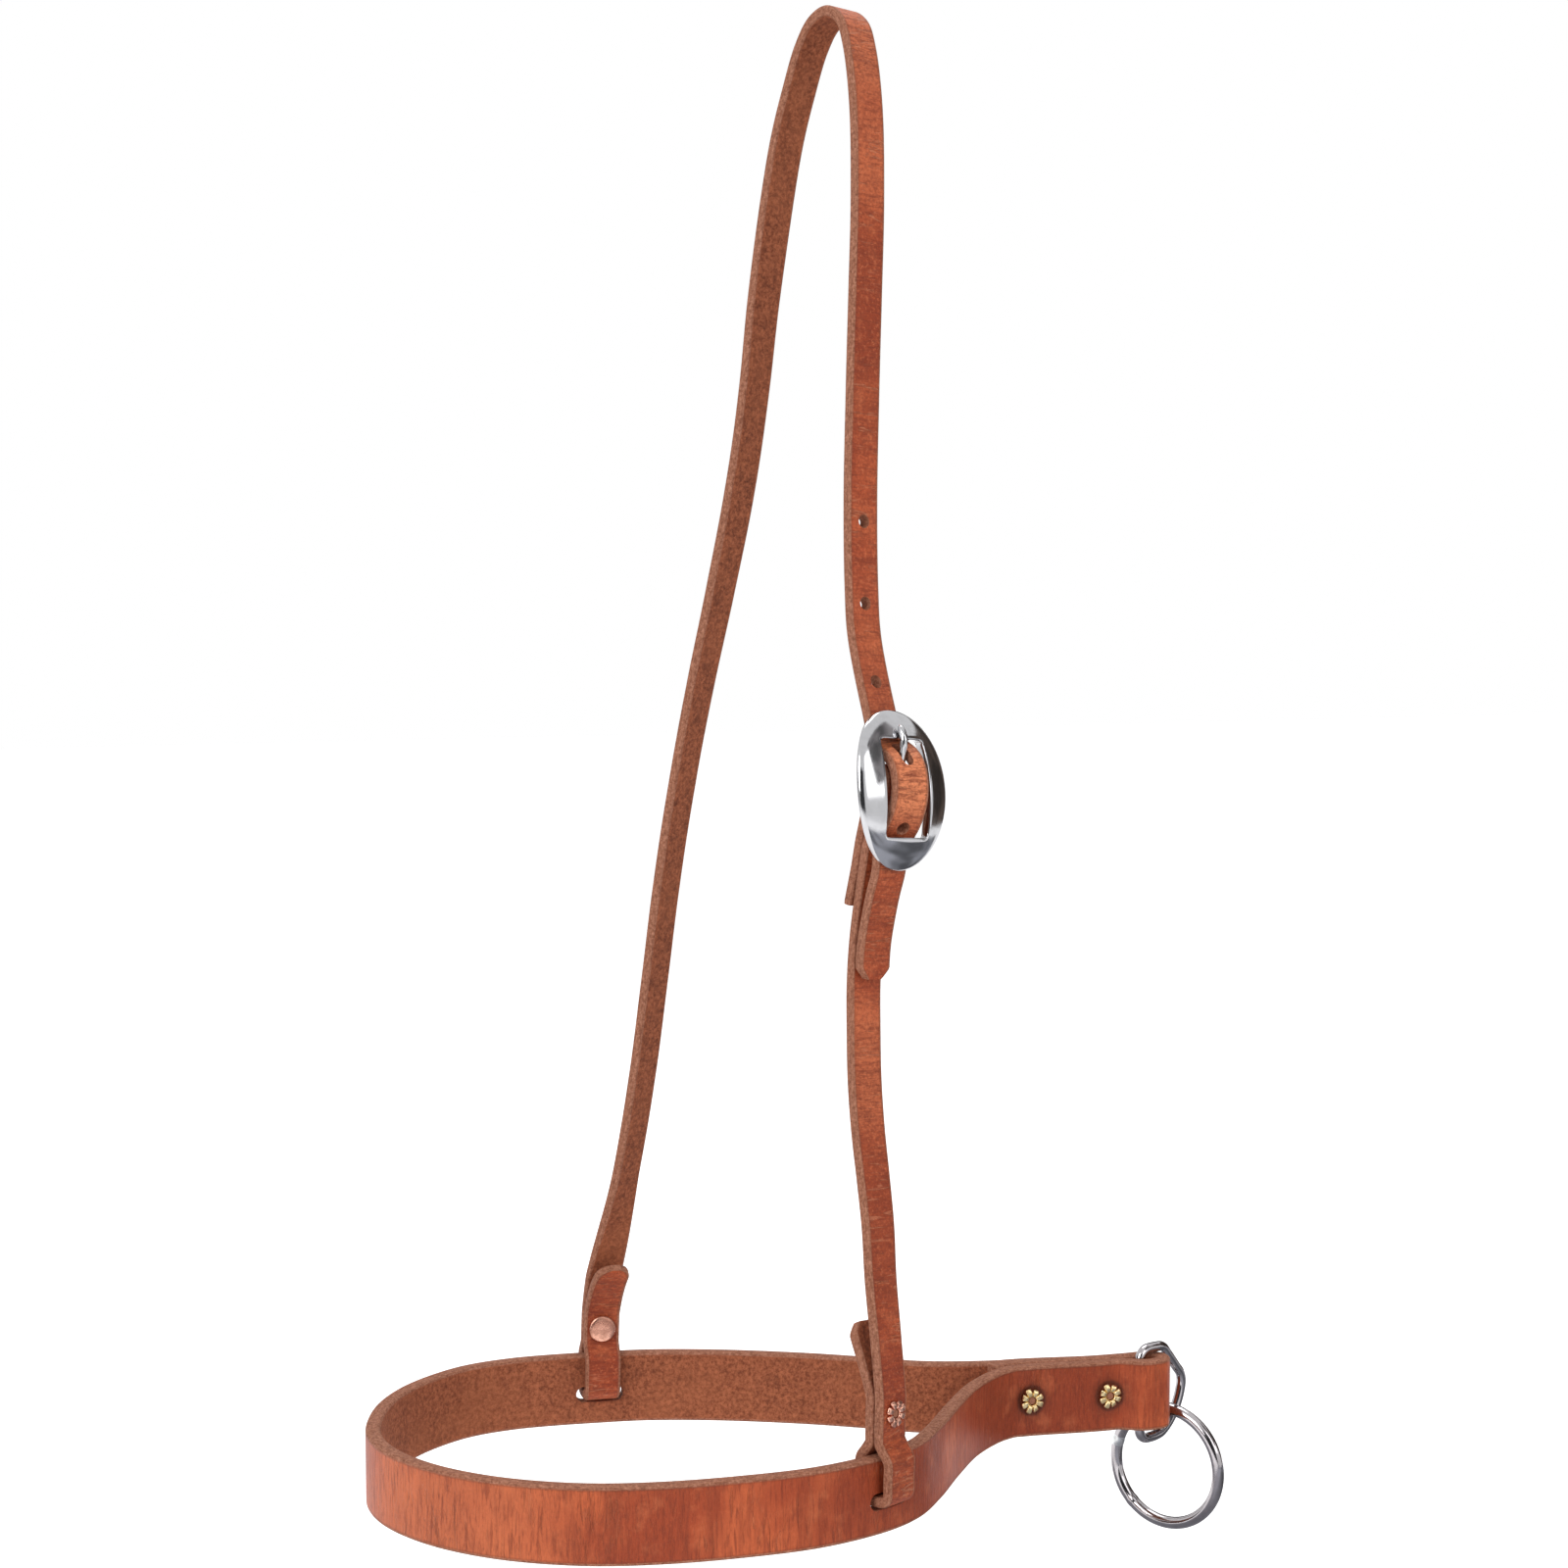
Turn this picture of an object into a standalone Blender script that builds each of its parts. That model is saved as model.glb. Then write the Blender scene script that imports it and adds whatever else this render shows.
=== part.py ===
# Western tie-down noseband: a nose loop on a buckled headstall, with a ring on its tail.
# Metres, +Z up. The origin is on the underside of the crown, where the poll carries it.
# Places are worked out from the middle between the two hanger slots, at the height of the
# noseband's lower edge, with +X towards the tail and +Y towards the far side.

import math

import bmesh
import bpy
import numpy as np
from mathutils import Matrix, Vector

# Nose loop
NOSEBAND_WIDTH = 0.0254
NOSEBAND_THICKNESS = 0.005
LOOP_LENGTH = 0.231
LOOP_WIDTH = 0.1585
LOOP_FRONT_SHARE = -0.5368
EDGE_ROUNDING = 0.0009

# Tail of the nose loop: three layers, riveted twice, with the dee's bar in the fold
SEAM_GAP = 0.0003
TAIL_LINE_Y = 0.0089
TAIL_STRAIGHT_LENGTH = 0.041
FOLD_POCKET_LENGTH = 0.0044
FOLD_SWELL_LENGTH = 0.0085
FOLD_SHIFT = 0.0025
TURN_BACK_LEAD = 0.007
FAR_END_SETBACK = 0.0115
FAR_END_DROP = 0.0009
FAR_END_DIP = 0.0017
DROP_RUN = 0.075
TAIL_DROOP = 0.0013
TAIL_RIVET_INSET = 0.0061
TAIL_RIVET_PITCH = 0.0307
TAIL_RIVET_HEIGHT = 0.013

# Hanger slots and the straps that pass through them
SLOT_LENGTH = 0.017
SLOT_HEIGHT_ABOVE_EDGE = 0.011
NEAR_SLOT_SHARE = 0.1104
FAR_SLOT_SHARE = -0.11385
HANGER_PLAY = 0.0011
HANGER_BEND_RADIUS = 0.0027
HANGER_SKEW = math.radians(4)
LEG_FLAT_ABOVE_NOSEBAND = 0.0045
FAR_RIVET_ABOVE_NOSEBAND = 0.0096
NEAR_RIVET_ABOVE_NOSEBAND = 0.0136
FAR_TAIL_LENGTH = 0.024
NEAR_TAIL_LENGTH = 0.027
FAR_TAIL_SPLAY = 0.0108
NEAR_TAIL_SPLAY = 0.0098

# Headstall straps
CHEEK_WIDTH = 0.0127
CHEEK_THICKNESS = 0.0035
CROWN_HEIGHT = 0.4925
CROWN_SIDE_SHARE = 0.1569
CROWN_LEAN = 0.0357
LEAN_LOW = 0.025
LEAN_HIGH = 0.065
HOLE_PITCH = 0.027
HOLE_DIAMETER = 0.0036
HOLES_ABOVE_TONGUE = 3
HOLES_BELOW_TONGUE = 1
OPEN_HOLE_LEAD = 0.0024
FREE_END_BELOW_BUCKLE = 0.035
FREE_END_BEND_SHARE = 0.26
FREE_END_LAND_SHARE = 0.68
CHAPE_TAIL_BELOW_RIVET = 0.017
CHAPE_RIVET_BELOW_BAR = 0.0245
CHAPE_INWARD = 0.0065
CHAPE_SLOPE = math.radians(8)
END_CLIP = 0.0035
TIP_RADIUS = 0.0045
STRAP_STEP_SHARE = 0.7

# Buckle
FRAME_LENGTH = 0.0523
FRAME_WIDTH = 0.0374
FRAME_DOME = 0.0042
FRAME_BOW = 0.004
WINDOW_LENGTH = 0.0318
WINDOW_WIDTH = 0.018
WINDOW_CORNER = 0.0015
FRAME_TILT = math.radians(10.5)
FRAME_SIDE_SHARE = 0.806
FRAME_HEIGHT_SHARE = 0.4814
FRAME_SHIFT = 0.0009
BAR_DIAMETER = 0.0032
BAR_ABOVE_MIDDLE = 0.003
BAR_FORWARD = 0.0005
LUG_WIDTH = 0.0022
RIM_PLAY = 0.002
TONGUE_DIAMETER = 0.0028
TONGUE_PLAY = 0.0022
TONGUE_TIP_PAST_WINDOW = 0.0046
CHAPE_SLOT_WIDTH = 0.0044
TONGUE_EYE_TURN = 272
WRAP_LEAVES_TOP = 42
FRAME_SQUARENESS_SHARE = 0.02

# Rivets
RIVET_HEAD_DIAMETER = 0.0095
RIVET_HEAD_THICKNESS = 0.0009
RIVET_SHANK_DIAMETER = 0.0042
RIVET_BORE_DIAMETER = 0.003
FLOWER_DIAMETER = 0.0088
PETAL_THICKNESS = 0.0013
CHAPE_FLOWER_DIAMETER = 0.0076
PLUG_DIAMETER = 0.0024
PLUG_LENGTH = 0.0022
PETAL_COUNT = 8
PETAL_TOP_SHARE = 0.6
PETAL_WIDTH_SHARE = 0.27

# Dee and ring
DEE_WIRE_DIAMETER = 0.0037
DEE_INNER_HEIGHT = 0.0292
DEE_DEPTH = 0.022
DEE_CORNER_RADIUS = 0.0042
DEE_SAG = 0.0014
DEE_BAR_SETBACK = 0.0039
DEE_ANGLE = math.radians(20)
RING_WIRE_DIAMETER = 0.0044
RING_OUTER_DIAMETER = 0.0467
RING_ANGLE = math.radians(-57)
RING_TURN = math.radians(92)

# Clearance between pieces that touch, the overrun of every cutter, and the weld of a seam
CLEARANCE = 0.0003
OVERRUN = 0.002
WELD_DISTANCE = 0.000002

# Outline of the nose loop's centreline as shares of LOOP_LENGTH from its front and of
# LOOP_WIDTH across, first along the far side towards the front, then back along the near side.
FAR_SIDE_SHARES = (
    (0.879, 0.173), (0.812, 0.235), (0.721, 0.318), (0.613, 0.401), (0.498, 0.462),
    (0.423, 0.482), (0.350, 0.495), (0.287, 0.496), (0.215, 0.474), (0.154, 0.424),
    (0.100, 0.356), (0.053, 0.262), (0.021, 0.157), (0.002, 0.052),
)
NEAR_SIDE_SHARES = (
    (0.002, -0.052), (0.021, -0.155), (0.060, -0.262), (0.123, -0.362), (0.216, -0.444),
    (0.318, -0.487), (0.423, -0.504), (0.537, -0.499), (0.647, -0.452), (0.708, -0.395),
    (0.764, -0.303), (0.836, -0.163), (0.902, -0.046), (0.956, 0.023), (0.978, 0.043),
)

# Headstall legs as shares of CROWN_HEIGHT up and of the slots' half spread sideways.
FAR_LEG_SHARES = (
    (0.110, -0.972), (0.146, -0.908), (0.185, -0.850), (0.258, -0.771), (0.329, -0.720),
    (0.400, -0.674), (0.471, -0.605), (0.542, -0.516), (0.611, -0.411), (0.680, -0.319),
    (0.747, -0.262), (0.814, -0.230), (0.881, -0.179), (0.920, -0.135), (0.950, -0.080),
)
NEAR_UPPER_LEG_SHARES = (
    (0.951, 0.357), (0.935, 0.374), (0.873, 0.421), (0.808, 0.447), (0.743, 0.468),
    (0.678, 0.494), (0.613, 0.539), (0.581, 0.576),
)
NEAR_LOWER_LEG_SHARES = (
    (0.122, 0.990), (0.164, 0.930), (0.197, 0.893), (0.227, 0.845), (0.258, 0.793),
    (0.290, 0.753), (0.323, 0.727), (0.355, 0.708), (0.386, 0.709),
)
# Crown bow as shares of its own half width sideways and of its drop below the top.
CROWN_BOW_SHARES = ((-1.05, 0.80), (-0.60, 0.20), (0.0, 0.0), (0.58, 0.30), (0.95, 1.0))
CROWN_HALF_WIDTH = 0.0125
CROWN_BOW_DROP = 0.0125

# Dee's wire beyond its bar, as shares of DEE_DEPTH out and of its half height up
DEE_SHARES = (
    (0.34, 1.0), (0.53, 0.965), (0.66, 0.78), (0.87, 0.44), (0.968, 0.28), (1.0, 0.11),
    (0.973, -0.12),
    (0.882, -0.425), (0.727, -0.73), (0.523, -0.948), (0.34, -1.0),
)

# Where the ring's wire passes through the dee, and the part of the dee's wire that it lies on
RING_CROSSING_SHARES = (0.63, -0.441)
RING_SEAT_SHARES = (0.795, -0.593)

# Twist of each leg about the upright, in degrees, at shares of CROWN_HEIGHT
FAR_TWIST_SHARES = ((0.085, None), (0.195, 17.0), (0.470, 17.0), (0.710, 9.0), (0.880, 0.0))
NEAR_TWIST_SHARES = ((0.095, None), (0.290, 0.0))


def curve_through(points, spacing):
    """Points about spacing apart on a centripetal Catmull-Rom curve through points."""
    knots = [np.array(point, float) for point in points]
    knots = [2 * knots[0] - knots[1]] + knots + [2 * knots[-1] - knots[-2]]
    found = [knots[1]]
    for a, b, c, d in zip(knots, knots[1:], knots[2:], knots[3:]):
        ta = 0.0
        tb = ta + math.sqrt(np.linalg.norm(b - a))
        tc = tb + math.sqrt(np.linalg.norm(c - b))
        td = tc + math.sqrt(np.linalg.norm(d - c))
        count = max(1, round(float(np.linalg.norm(c - b)) / spacing))
        for step in range(1, count + 1):
            t = tb + (tc - tb) * step / count
            ab = ((tb - t) * a + (t - ta) * b) / (tb - ta)
            bc = ((tc - t) * b + (t - tb) * c) / (tc - tb)
            cd = ((td - t) * c + (t - tc) * d) / (td - tc)
            abc = ((tc - t) * ab + (t - ta) * bc) / (tc - ta)
            bcd = ((td - t) * bc + (t - tb) * cd) / (td - tb)
            found.append(((tc - t) * abc + (t - tb) * bcd) / (tc - tb))
    return found


def arc(centre, radius, start, end, count):
    """count points on an arc, with angles in degrees."""
    angles = [math.radians(start + (end - start) * i / (count - 1)) for i in range(count)]
    return [(centre[0] + radius * math.cos(a), centre[1] + radius * math.sin(a)) for a in angles]


def eased(value, stations):
    """Value of a table at a place, eased from station to station."""
    if value <= stations[0][0]:
        return stations[0][1]
    for (low, before), (high, after) in zip(stations, stations[1:]):
        if value <= high:
            share = (value - low) / (high - low)
            return before + (after - before) * share * share * (3 - 2 * share)
    return stations[-1][1]


# Nose loop: its route in plan, from the far end's cut to the turned-back tip
LAYER_PITCH = NOSEBAND_THICKNESS + SEAM_GAP
LOOP_FRONT_X = LOOP_FRONT_SHARE * LOOP_LENGTH
TAIL_START_X = LOOP_FRONT_X + LOOP_LENGTH
SWELL_START_X = TAIL_START_X + TAIL_STRAIGHT_LENGTH
BAR_PASS_RADIUS = DEE_WIRE_DIAMETER / 2 + 2 * CLEARANCE
FOLD_RADIUS = BAR_PASS_RADIUS + NOSEBAND_THICKNESS / 2
FOLD_CENTRE_X = SWELL_START_X + FOLD_SWELL_LENGTH + FOLD_POCKET_LENGTH
FOLD_CENTRE_Y = TAIL_LINE_Y + LAYER_PITCH / 2 - FOLD_SHIFT
BAR_X = FOLD_CENTRE_X - DEE_BAR_SETBACK
LOWER_LAYERS_Y = (TAIL_LINE_Y, TAIL_LINE_Y + LAYER_PITCH, TAIL_LINE_Y + 2 * LAYER_PITCH)


def loop_point(share):
    return (LOOP_FRONT_X + share[0] * LOOP_LENGTH, share[1] * LOOP_WIDTH)


def noseband_route():
    near_y, middle_y, far_y = LOWER_LAYERS_Y
    far_end_x = SWELL_START_X + FAR_END_SETBACK
    stitch = NOSEBAND_THICKNESS / 2
    early = TAIL_START_X + stitch
    late = SWELL_START_X - stitch
    points = [(far_end_x, far_y), (SWELL_START_X, far_y), (early, far_y), (TAIL_START_X, far_y)]
    points += [loop_point(share) for share in FAR_SIDE_SHARES + NEAR_SIDE_SHARES]
    points += [(TAIL_START_X, near_y), (early, near_y), (late, near_y), (SWELL_START_X, near_y)]
    points += [(SWELL_START_X + FOLD_SWELL_LENGTH, FOLD_CENTRE_Y - FOLD_RADIUS)]
    points += arc((FOLD_CENTRE_X, FOLD_CENTRE_Y), FOLD_RADIUS, -90, 90, 9)
    points += [(SWELL_START_X + FOLD_SWELL_LENGTH, FOLD_CENTRE_Y + FOLD_RADIUS)]
    points += [(SWELL_START_X, middle_y), (late, middle_y), (early, middle_y)]
    points += [(TAIL_START_X, middle_y), (TAIL_START_X - TURN_BACK_LEAD, middle_y - TIP_STEP)]
    return curve_through(points, NOSEBAND_WIDTH / 5)


TIP_STEP = TURN_BACK_LEAD / 5


def drop_at(x):
    """How far the far layer lies below the other two: it dips before the tail and to its end."""
    end_x = SWELL_START_X + FAR_END_SETBACK
    stations = ((TAIL_START_X - DROP_RUN, 0.0), (TAIL_START_X, -FAR_END_DROP))
    if x <= TAIL_START_X:
        return eased(x, stations)
    along = (x - TAIL_START_X) / (end_x - TAIL_START_X)
    return -FAR_END_DROP - (FAR_END_DIP - FAR_END_DROP) * along


def droop_at(x):
    """How far the whole tail hangs below the loop."""
    return eased(x, ((TAIL_START_X, 0.0), (SWELL_START_X, -TAIL_DROOP)))


def noseband_place(x, y, z):
    split = LOWER_LAYERS_Y[1] + LAYER_PITCH / 2 - (TIP_STEP if x < TAIL_START_X - CLEARANCE else 0)
    drop = drop_at(x) if y > split else 0.0
    drop += droop_at(x)
    return Vector((x, y, z + NOSEBAND_WIDTH / 2 + drop))


def slot_station(route, x, side):
    """Place and heading, in plan, of the nose loop's centreline at a slot."""
    picked = [i for i in range(1, len(route) - 1) if route[i][1] * side > 0 and
              min(route[i - 1][0], route[i + 1][0]) <= x <= max(route[i - 1][0], route[i + 1][0])]
    index = min(picked, key=lambda i: abs(route[i][0] - x))
    ahead = route[index + 1] - route[index - 1]
    if ahead[0] < 0:
        ahead = -ahead
    share = (x - route[index][0]) / ahead[0]
    place = route[index] + ahead * share
    return Vector((place[0], place[1])), math.atan2(ahead[1], ahead[0])


NOSEBAND_ROUTE = noseband_route()
NEAR_SLOT, NEAR_HEADING = slot_station(NOSEBAND_ROUTE, NEAR_SLOT_SHARE * LOOP_LENGTH, -1)
FAR_SLOT, FAR_HEADING = slot_station(NOSEBAND_ROUTE, FAR_SLOT_SHARE * LOOP_LENGTH, 1)
MIDDLE = (NEAR_SLOT + FAR_SLOT) / 2
HALF_SPREAD = (NEAR_SLOT - FAR_SLOT).length / 2
SIDEWAYS = (NEAR_SLOT - FAR_SLOT).normalized()
FORWARDS = Vector((-SIDEWAYS.y, SIDEWAYS.x))
PLANE_HEADING = math.atan2(FORWARDS.y, FORWARDS.x)
CROWN_SIDE = CROWN_SIDE_SHARE * HALF_SPREAD


def leg_point(share):
    return (share[1] * HALF_SPREAD, share[0] * CROWN_HEIGHT)


def twist_stations(shares, first):
    return [(share * CROWN_HEIGHT, first if turn is None else math.radians(turn))
            for share, turn in shares]


FAR_TWIST = twist_stations(FAR_TWIST_SHARES, FAR_HEADING + HANGER_SKEW - PLANE_HEADING)
NEAR_TWIST = twist_stations(NEAR_TWIST_SHARES, NEAR_HEADING + HANGER_SKEW - PLANE_HEADING)
FAR_LINE = [(0.0, -HALF_SPREAD)] + [leg_point(share)[::-1] for share in FAR_LEG_SHARES]
NEAR_LINE = [(0.0, HALF_SPREAD)] + [leg_point(share)[::-1] for share in NEAR_LOWER_LEG_SHARES]


def lean_at(height):
    """Forward lean of the headstall plane, and its slope, at a height."""
    slope = CROWN_LEAN / (CROWN_HEIGHT - (LEAN_LOW + LEAN_HIGH) / 2)
    if height <= LEAN_LOW:
        return 0.0, 0.0
    if height <= LEAN_HIGH:
        run = height - LEAN_LOW
        span = LEAN_HIGH - LEAN_LOW
        return slope * run * run / (2 * span), slope * run / span
    return slope * (height - (LEAN_LOW + LEAN_HIGH) / 2), slope


def hang(side, height, across):
    """Place of a headstall point: twisted about its own leg, then leaned forwards."""
    near = side > CROWN_SIDE
    twist = eased(height, NEAR_TWIST if near else FAR_TWIST)
    line = NEAR_LINE if near else FAR_LINE
    axis = float(np.interp(height, [row[0] for row in line], [row[1] for row in line]))
    lean, slope = lean_at(height)
    fall = math.atan(slope)
    offset = SIDEWAYS * (side - axis) + FORWARDS * (across * math.cos(fall))
    offset = Matrix.Rotation(twist, 2) @ offset
    place = MIDDLE + SIDEWAYS * axis + FORWARDS * lean + offset
    return Vector((place.x, place.y, height - across * math.sin(fall)))


# Buckle: the frame stands in the headstall plane, tilted, with its bar behind its back
FRAME_UP = Vector((-math.sin(FRAME_TILT), math.cos(FRAME_TILT)))
FRAME_OUT = Vector((math.cos(FRAME_TILT), math.sin(FRAME_TILT)))
BAR_RADIUS = BAR_DIAMETER / 2
CHAPE_RADIUS = BAR_RADIUS + CLEARANCE + CHEEK_THICKNESS / 2
OVER_CHAPE_RADIUS = CHAPE_RADIUS + CHEEK_THICKNESS + CLEARANCE


def in_frame(up, out):
    """Side and height of a point given up and out from the middle of the buckle's back."""
    middle = Vector((FRAME_SIDE_SHARE * HALF_SPREAD, FRAME_HEIGHT_SHARE * CROWN_HEIGHT))
    place = middle + FRAME_UP * up + FRAME_OUT * out
    return (place.x, place.y)


def back_at(up):
    return FRAME_BOW * (1 - (2 * up / FRAME_LENGTH) ** 2)


def front_at(up):
    """Height of the dome's crest along the middle of the frame."""
    return back_at(up) + FRAME_DOME * math.sqrt(1 - (2 * up / FRAME_LENGTH) ** 2)


BAR_PLACE = in_frame(BAR_ABOVE_MIDDLE, BAR_FORWARD)
BEHIND_RIM = CHEEK_THICKNESS / 2 + RIM_PLAY


def behind_rim(up):
    return in_frame(up, back_at(up) - BEHIND_RIM)


def hanger(sign, tail_length, rivet_above, splay):
    """Route of a hanger: down the inside, through the slot and up the outside."""
    centre = HALF_SPREAD * sign
    gap = NOSEBAND_THICKNESS / 2 + HANGER_PLAY + CHEEK_THICKNESS / 2
    gap += CHEEK_WIDTH / 2 * math.sin(HANGER_SKEW)
    closed = (CHEEK_THICKNESS + SEAM_GAP) / 2
    top = NOSEBAND_WIDTH
    flat = top + LEG_FLAT_ABOVE_NOSEBAND
    rivet = top + rivet_above
    head = rivet + RIVET_HEAD_DIAMETER / 2
    low = SLOT_HEIGHT_ABOVE_EDGE
    bend = HANGER_BEND_RADIUS
    inside = [(closed + splay, rivet + tail_length)]
    inside += [(closed + splay / 3, rivet + tail_length / 2)]
    guard = CHEEK_THICKNESS / 2
    inside += [(closed, head), (closed, head - guard), (closed, flat + guard), (closed, flat)]
    inside += [((closed + gap) / 2, top + LEG_FLAT_ABOVE_NOSEBAND / 3)]
    inside += [(gap, top - CLEARANCE * 4), (gap, (top + low) / 2)]
    inside += arc((gap - bend, low + bend), bend, 0, -90, 4)
    outside = [(-out, height) for out, height in reversed(inside)]
    route = inside + outside[:-2]
    return [(centre - out * sign, height) for out, height in route]


def crown_route():
    points = hanger(-1, FAR_TAIL_LENGTH, FAR_RIVET_ABOVE_NOSEBAND, FAR_TAIL_SPLAY)
    points += [leg_point(share) for share in FAR_LEG_SHARES]
    points += [(CROWN_SIDE + side * CROWN_HALF_WIDTH, CROWN_HEIGHT - drop * CROWN_BOW_DROP)
               for side, drop in CROWN_BOW_SHARES]
    points += [leg_point(share) for share in NEAR_UPPER_LEG_SHARES[1:]]
    half = WINDOW_LENGTH / 2
    end = FRAME_LENGTH / 2
    bar = (BAR_ABOVE_MIDDLE, BAR_FORWARD)
    over = OVER_CHAPE_RADIUS
    points += [behind_rim(end), behind_rim((end + half) / 2), behind_rim(half)]
    wrap = [in_frame(up, out) for up, out in arc(bar, over, WRAP_LEAVES_TOP, 120, 6)]
    points += wrap
    points += [behind_rim(-half), behind_rim(-(end + half) / 2), behind_rim(-end)]
    stacked = FREE_END_SIDE
    low = behind_rim(-end)
    points += [((low[0] + stacked) / 2, low[1] - FREE_END_BELOW_BUCKLE * FREE_END_BEND_SHARE)]
    points += [(stacked, low[1] - FREE_END_BELOW_BUCKLE * FREE_END_LAND_SHARE)]
    points += [(stacked, low[1] - FREE_END_BELOW_BUCKLE)]
    return points


FREE_END_SIDE = NEAR_LOWER_LEG_SHARES[-2][1] * HALF_SPREAD + CHEEK_THICKNESS + CLEARANCE * 2

# Chape: its two legs are parallel where the rivet closes them
CHAPE_UP = Vector((math.sin(CHAPE_SLOPE), math.cos(CHAPE_SLOPE)))
CHAPE_OUT = Vector((math.cos(CHAPE_SLOPE), -math.sin(CHAPE_SLOPE)))
CHAPE_RIVET_PLACE = Vector(BAR_PLACE) - Vector((CHAPE_INWARD, CHAPE_RIVET_BELOW_BAR))


def by_chape_rivet(up, out):
    place = CHAPE_RIVET_PLACE + CHAPE_UP * up + CHAPE_OUT * out
    return (place.x, place.y)


def near_cheek_route():
    points = hanger(1, NEAR_TAIL_LENGTH, NEAR_RIVET_ABOVE_NOSEBAND, NEAR_TAIL_SPLAY)
    points += [leg_point(share) for share in NEAR_LOWER_LEG_SHARES]
    closed = (CHEEK_THICKNESS + SEAM_GAP) / 2
    reach = CHAPE_FLOWER_DIAMETER / 2
    guard = CHEEK_THICKNESS / 2
    points += [by_chape_rivet(-reach, closed), by_chape_rivet(guard - reach, closed)]
    points += [by_chape_rivet(reach - guard, closed), by_chape_rivet(reach, closed)]
    points += arc(BAR_PLACE, CHAPE_RADIUS, -18, 190, 9)
    points += [by_chape_rivet(reach, -closed), by_chape_rivet(reach - guard, -closed)]
    points += [by_chape_rivet(guard - reach, -closed), by_chape_rivet(-reach, -closed)]
    points += [by_chape_rivet(-CHAPE_TAIL_BELOW_RIVET, -closed - 2 * CLEARANCE)]
    return points


def material(name, colour, roughness, metallic):
    made = bpy.data.materials.new(name)
    made.use_nodes = True
    shader = made.node_tree.nodes["Principled BSDF"]
    shader.inputs["Base Color"].default_value = (*colour, 1)
    shader.inputs["Roughness"].default_value = roughness
    shader.inputs["Metallic"].default_value = metallic
    return made


def new_object(name, data, collection):
    made = bpy.data.objects.new(name, data)
    collection.objects.link(made)
    return made


def mesh_of(curve_object):
    """Mesh of a curve with its caps welded. The curve object goes."""
    bpy.context.view_layer.update()
    graph = bpy.context.evaluated_depsgraph_get()
    mesh = bpy.data.meshes.new_from_object(curve_object.evaluated_get(graph))
    curve = curve_object.data
    bpy.data.objects.remove(curve_object)
    bpy.data.curves.remove(curve)
    weld(mesh)
    return mesh


def weld(mesh):
    work = bmesh.new()
    work.from_mesh(mesh)
    bmesh.ops.remove_doubles(work, verts=work.verts, dist=WELD_DISTANCE)
    bmesh.ops.recalc_face_normals(work, faces=work.faces)
    work.to_mesh(mesh)
    work.free()


def spline_curve(name, points, cyclic):
    curve = bpy.data.curves.new(name, "CURVE")
    curve.dimensions = "2D"
    spline = curve.splines.new("POLY")
    spline.points.add(len(points) - 1)
    for knot, point in zip(spline.points, points):
        knot.co = (point[0], point[1], 0, 1)
    spline.use_cyclic_u = cyclic
    return curve


def strap_section(width, thickness):
    """Strap section: a rectangle with its four edges dressed off."""
    half_width = width / 2
    half = thickness / 2
    edge = EDGE_ROUNDING
    corner = [(half, half_width - edge), (half - edge, half_width)]
    corner += [(edge - half, half_width), (-half, half_width - edge)]
    corner += [(-x, -y) for x, y in corner]
    return corner


def strap_mesh(name, route, width, thickness, place):
    """Sweep of the strap's section along its route, then set in place point by point."""
    section = new_object(name + "_section",
                         spline_curve(name, strap_section(width, thickness), True), CUTTERS)
    curve = spline_curve(name, route, False)
    curve.bevel_mode = "OBJECT"
    curve.bevel_object = section
    curve.use_fill_caps = True
    mesh = mesh_of(new_object(name, curve, CUTTERS))
    bpy.data.objects.remove(section)
    for vertex in mesh.vertices:
        vertex.co = place(*vertex.co)
    weld(mesh)
    return mesh


def cutter(mesh, matrix):
    made = new_object("cutter", mesh, CUTTERS)
    made.matrix_world = matrix
    made.hide_render = True
    made.display_type = "WIRE"
    return made


def cylinder_mesh(radius, length, sides, name):
    mesh = bpy.data.meshes.new(name)
    work = bmesh.new()
    bmesh.ops.create_cone(work, cap_ends=True, segments=sides, radius1=radius, radius2=radius,
                          depth=length)
    work.to_mesh(mesh)
    work.free()
    return mesh


def slot_mesh(length, height, depth):
    """Slot cutter along X with round ends, upright in Z and through in Y."""
    radius = height / 2
    reach = length / 2 - radius
    outline = arc((reach, 0), radius, -90, 90, 9) + arc((-reach, 0), radius, 90, 270, 9)
    curve = spline_curve("slot", outline, True)
    curve.fill_mode = "BOTH"
    curve.extrude = depth / 2
    mesh = mesh_of(new_object("slot", curve, CUTTERS))
    mesh.transform(Matrix.Rotation(math.radians(90), 4, "X"))
    return mesh


def cut(target, tool, operation="DIFFERENCE"):
    change = target.modifiers.new(operation.lower(), "BOOLEAN")
    change.operation = operation
    change.solver = "EXACT"
    change.object = tool


def applied(target):
    """Mesh of an object with its modifiers, in the object's own frame."""
    bpy.context.view_layer.update()
    graph = bpy.context.evaluated_depsgraph_get()
    return bpy.data.meshes.new_from_object(target.evaluated_get(graph))


def basis(place, x_axis, y_axis, z_axis):
    turned = Matrix((x_axis, y_axis, z_axis)).transposed().to_4x4()
    return Matrix.Translation(place) @ turned


def plane_basis(side, height):
    """Frame in the headstall plane: across the strap, up it, and out of it."""
    step = CHEEK_THICKNESS
    place = hang(side, height, 0)
    across = (hang(side, height, step) - hang(side, height, -step)).normalized()
    out = (hang(side + step, height, 0) - hang(side - step, height, 0)).normalized()
    up = out.cross(across).normalized()
    return basis(place, across, up, across.cross(up))


def shade(target):
    target.data.shade_smooth()
    target.data.set_sharp_from_angle(angle=math.radians(35))


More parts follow.
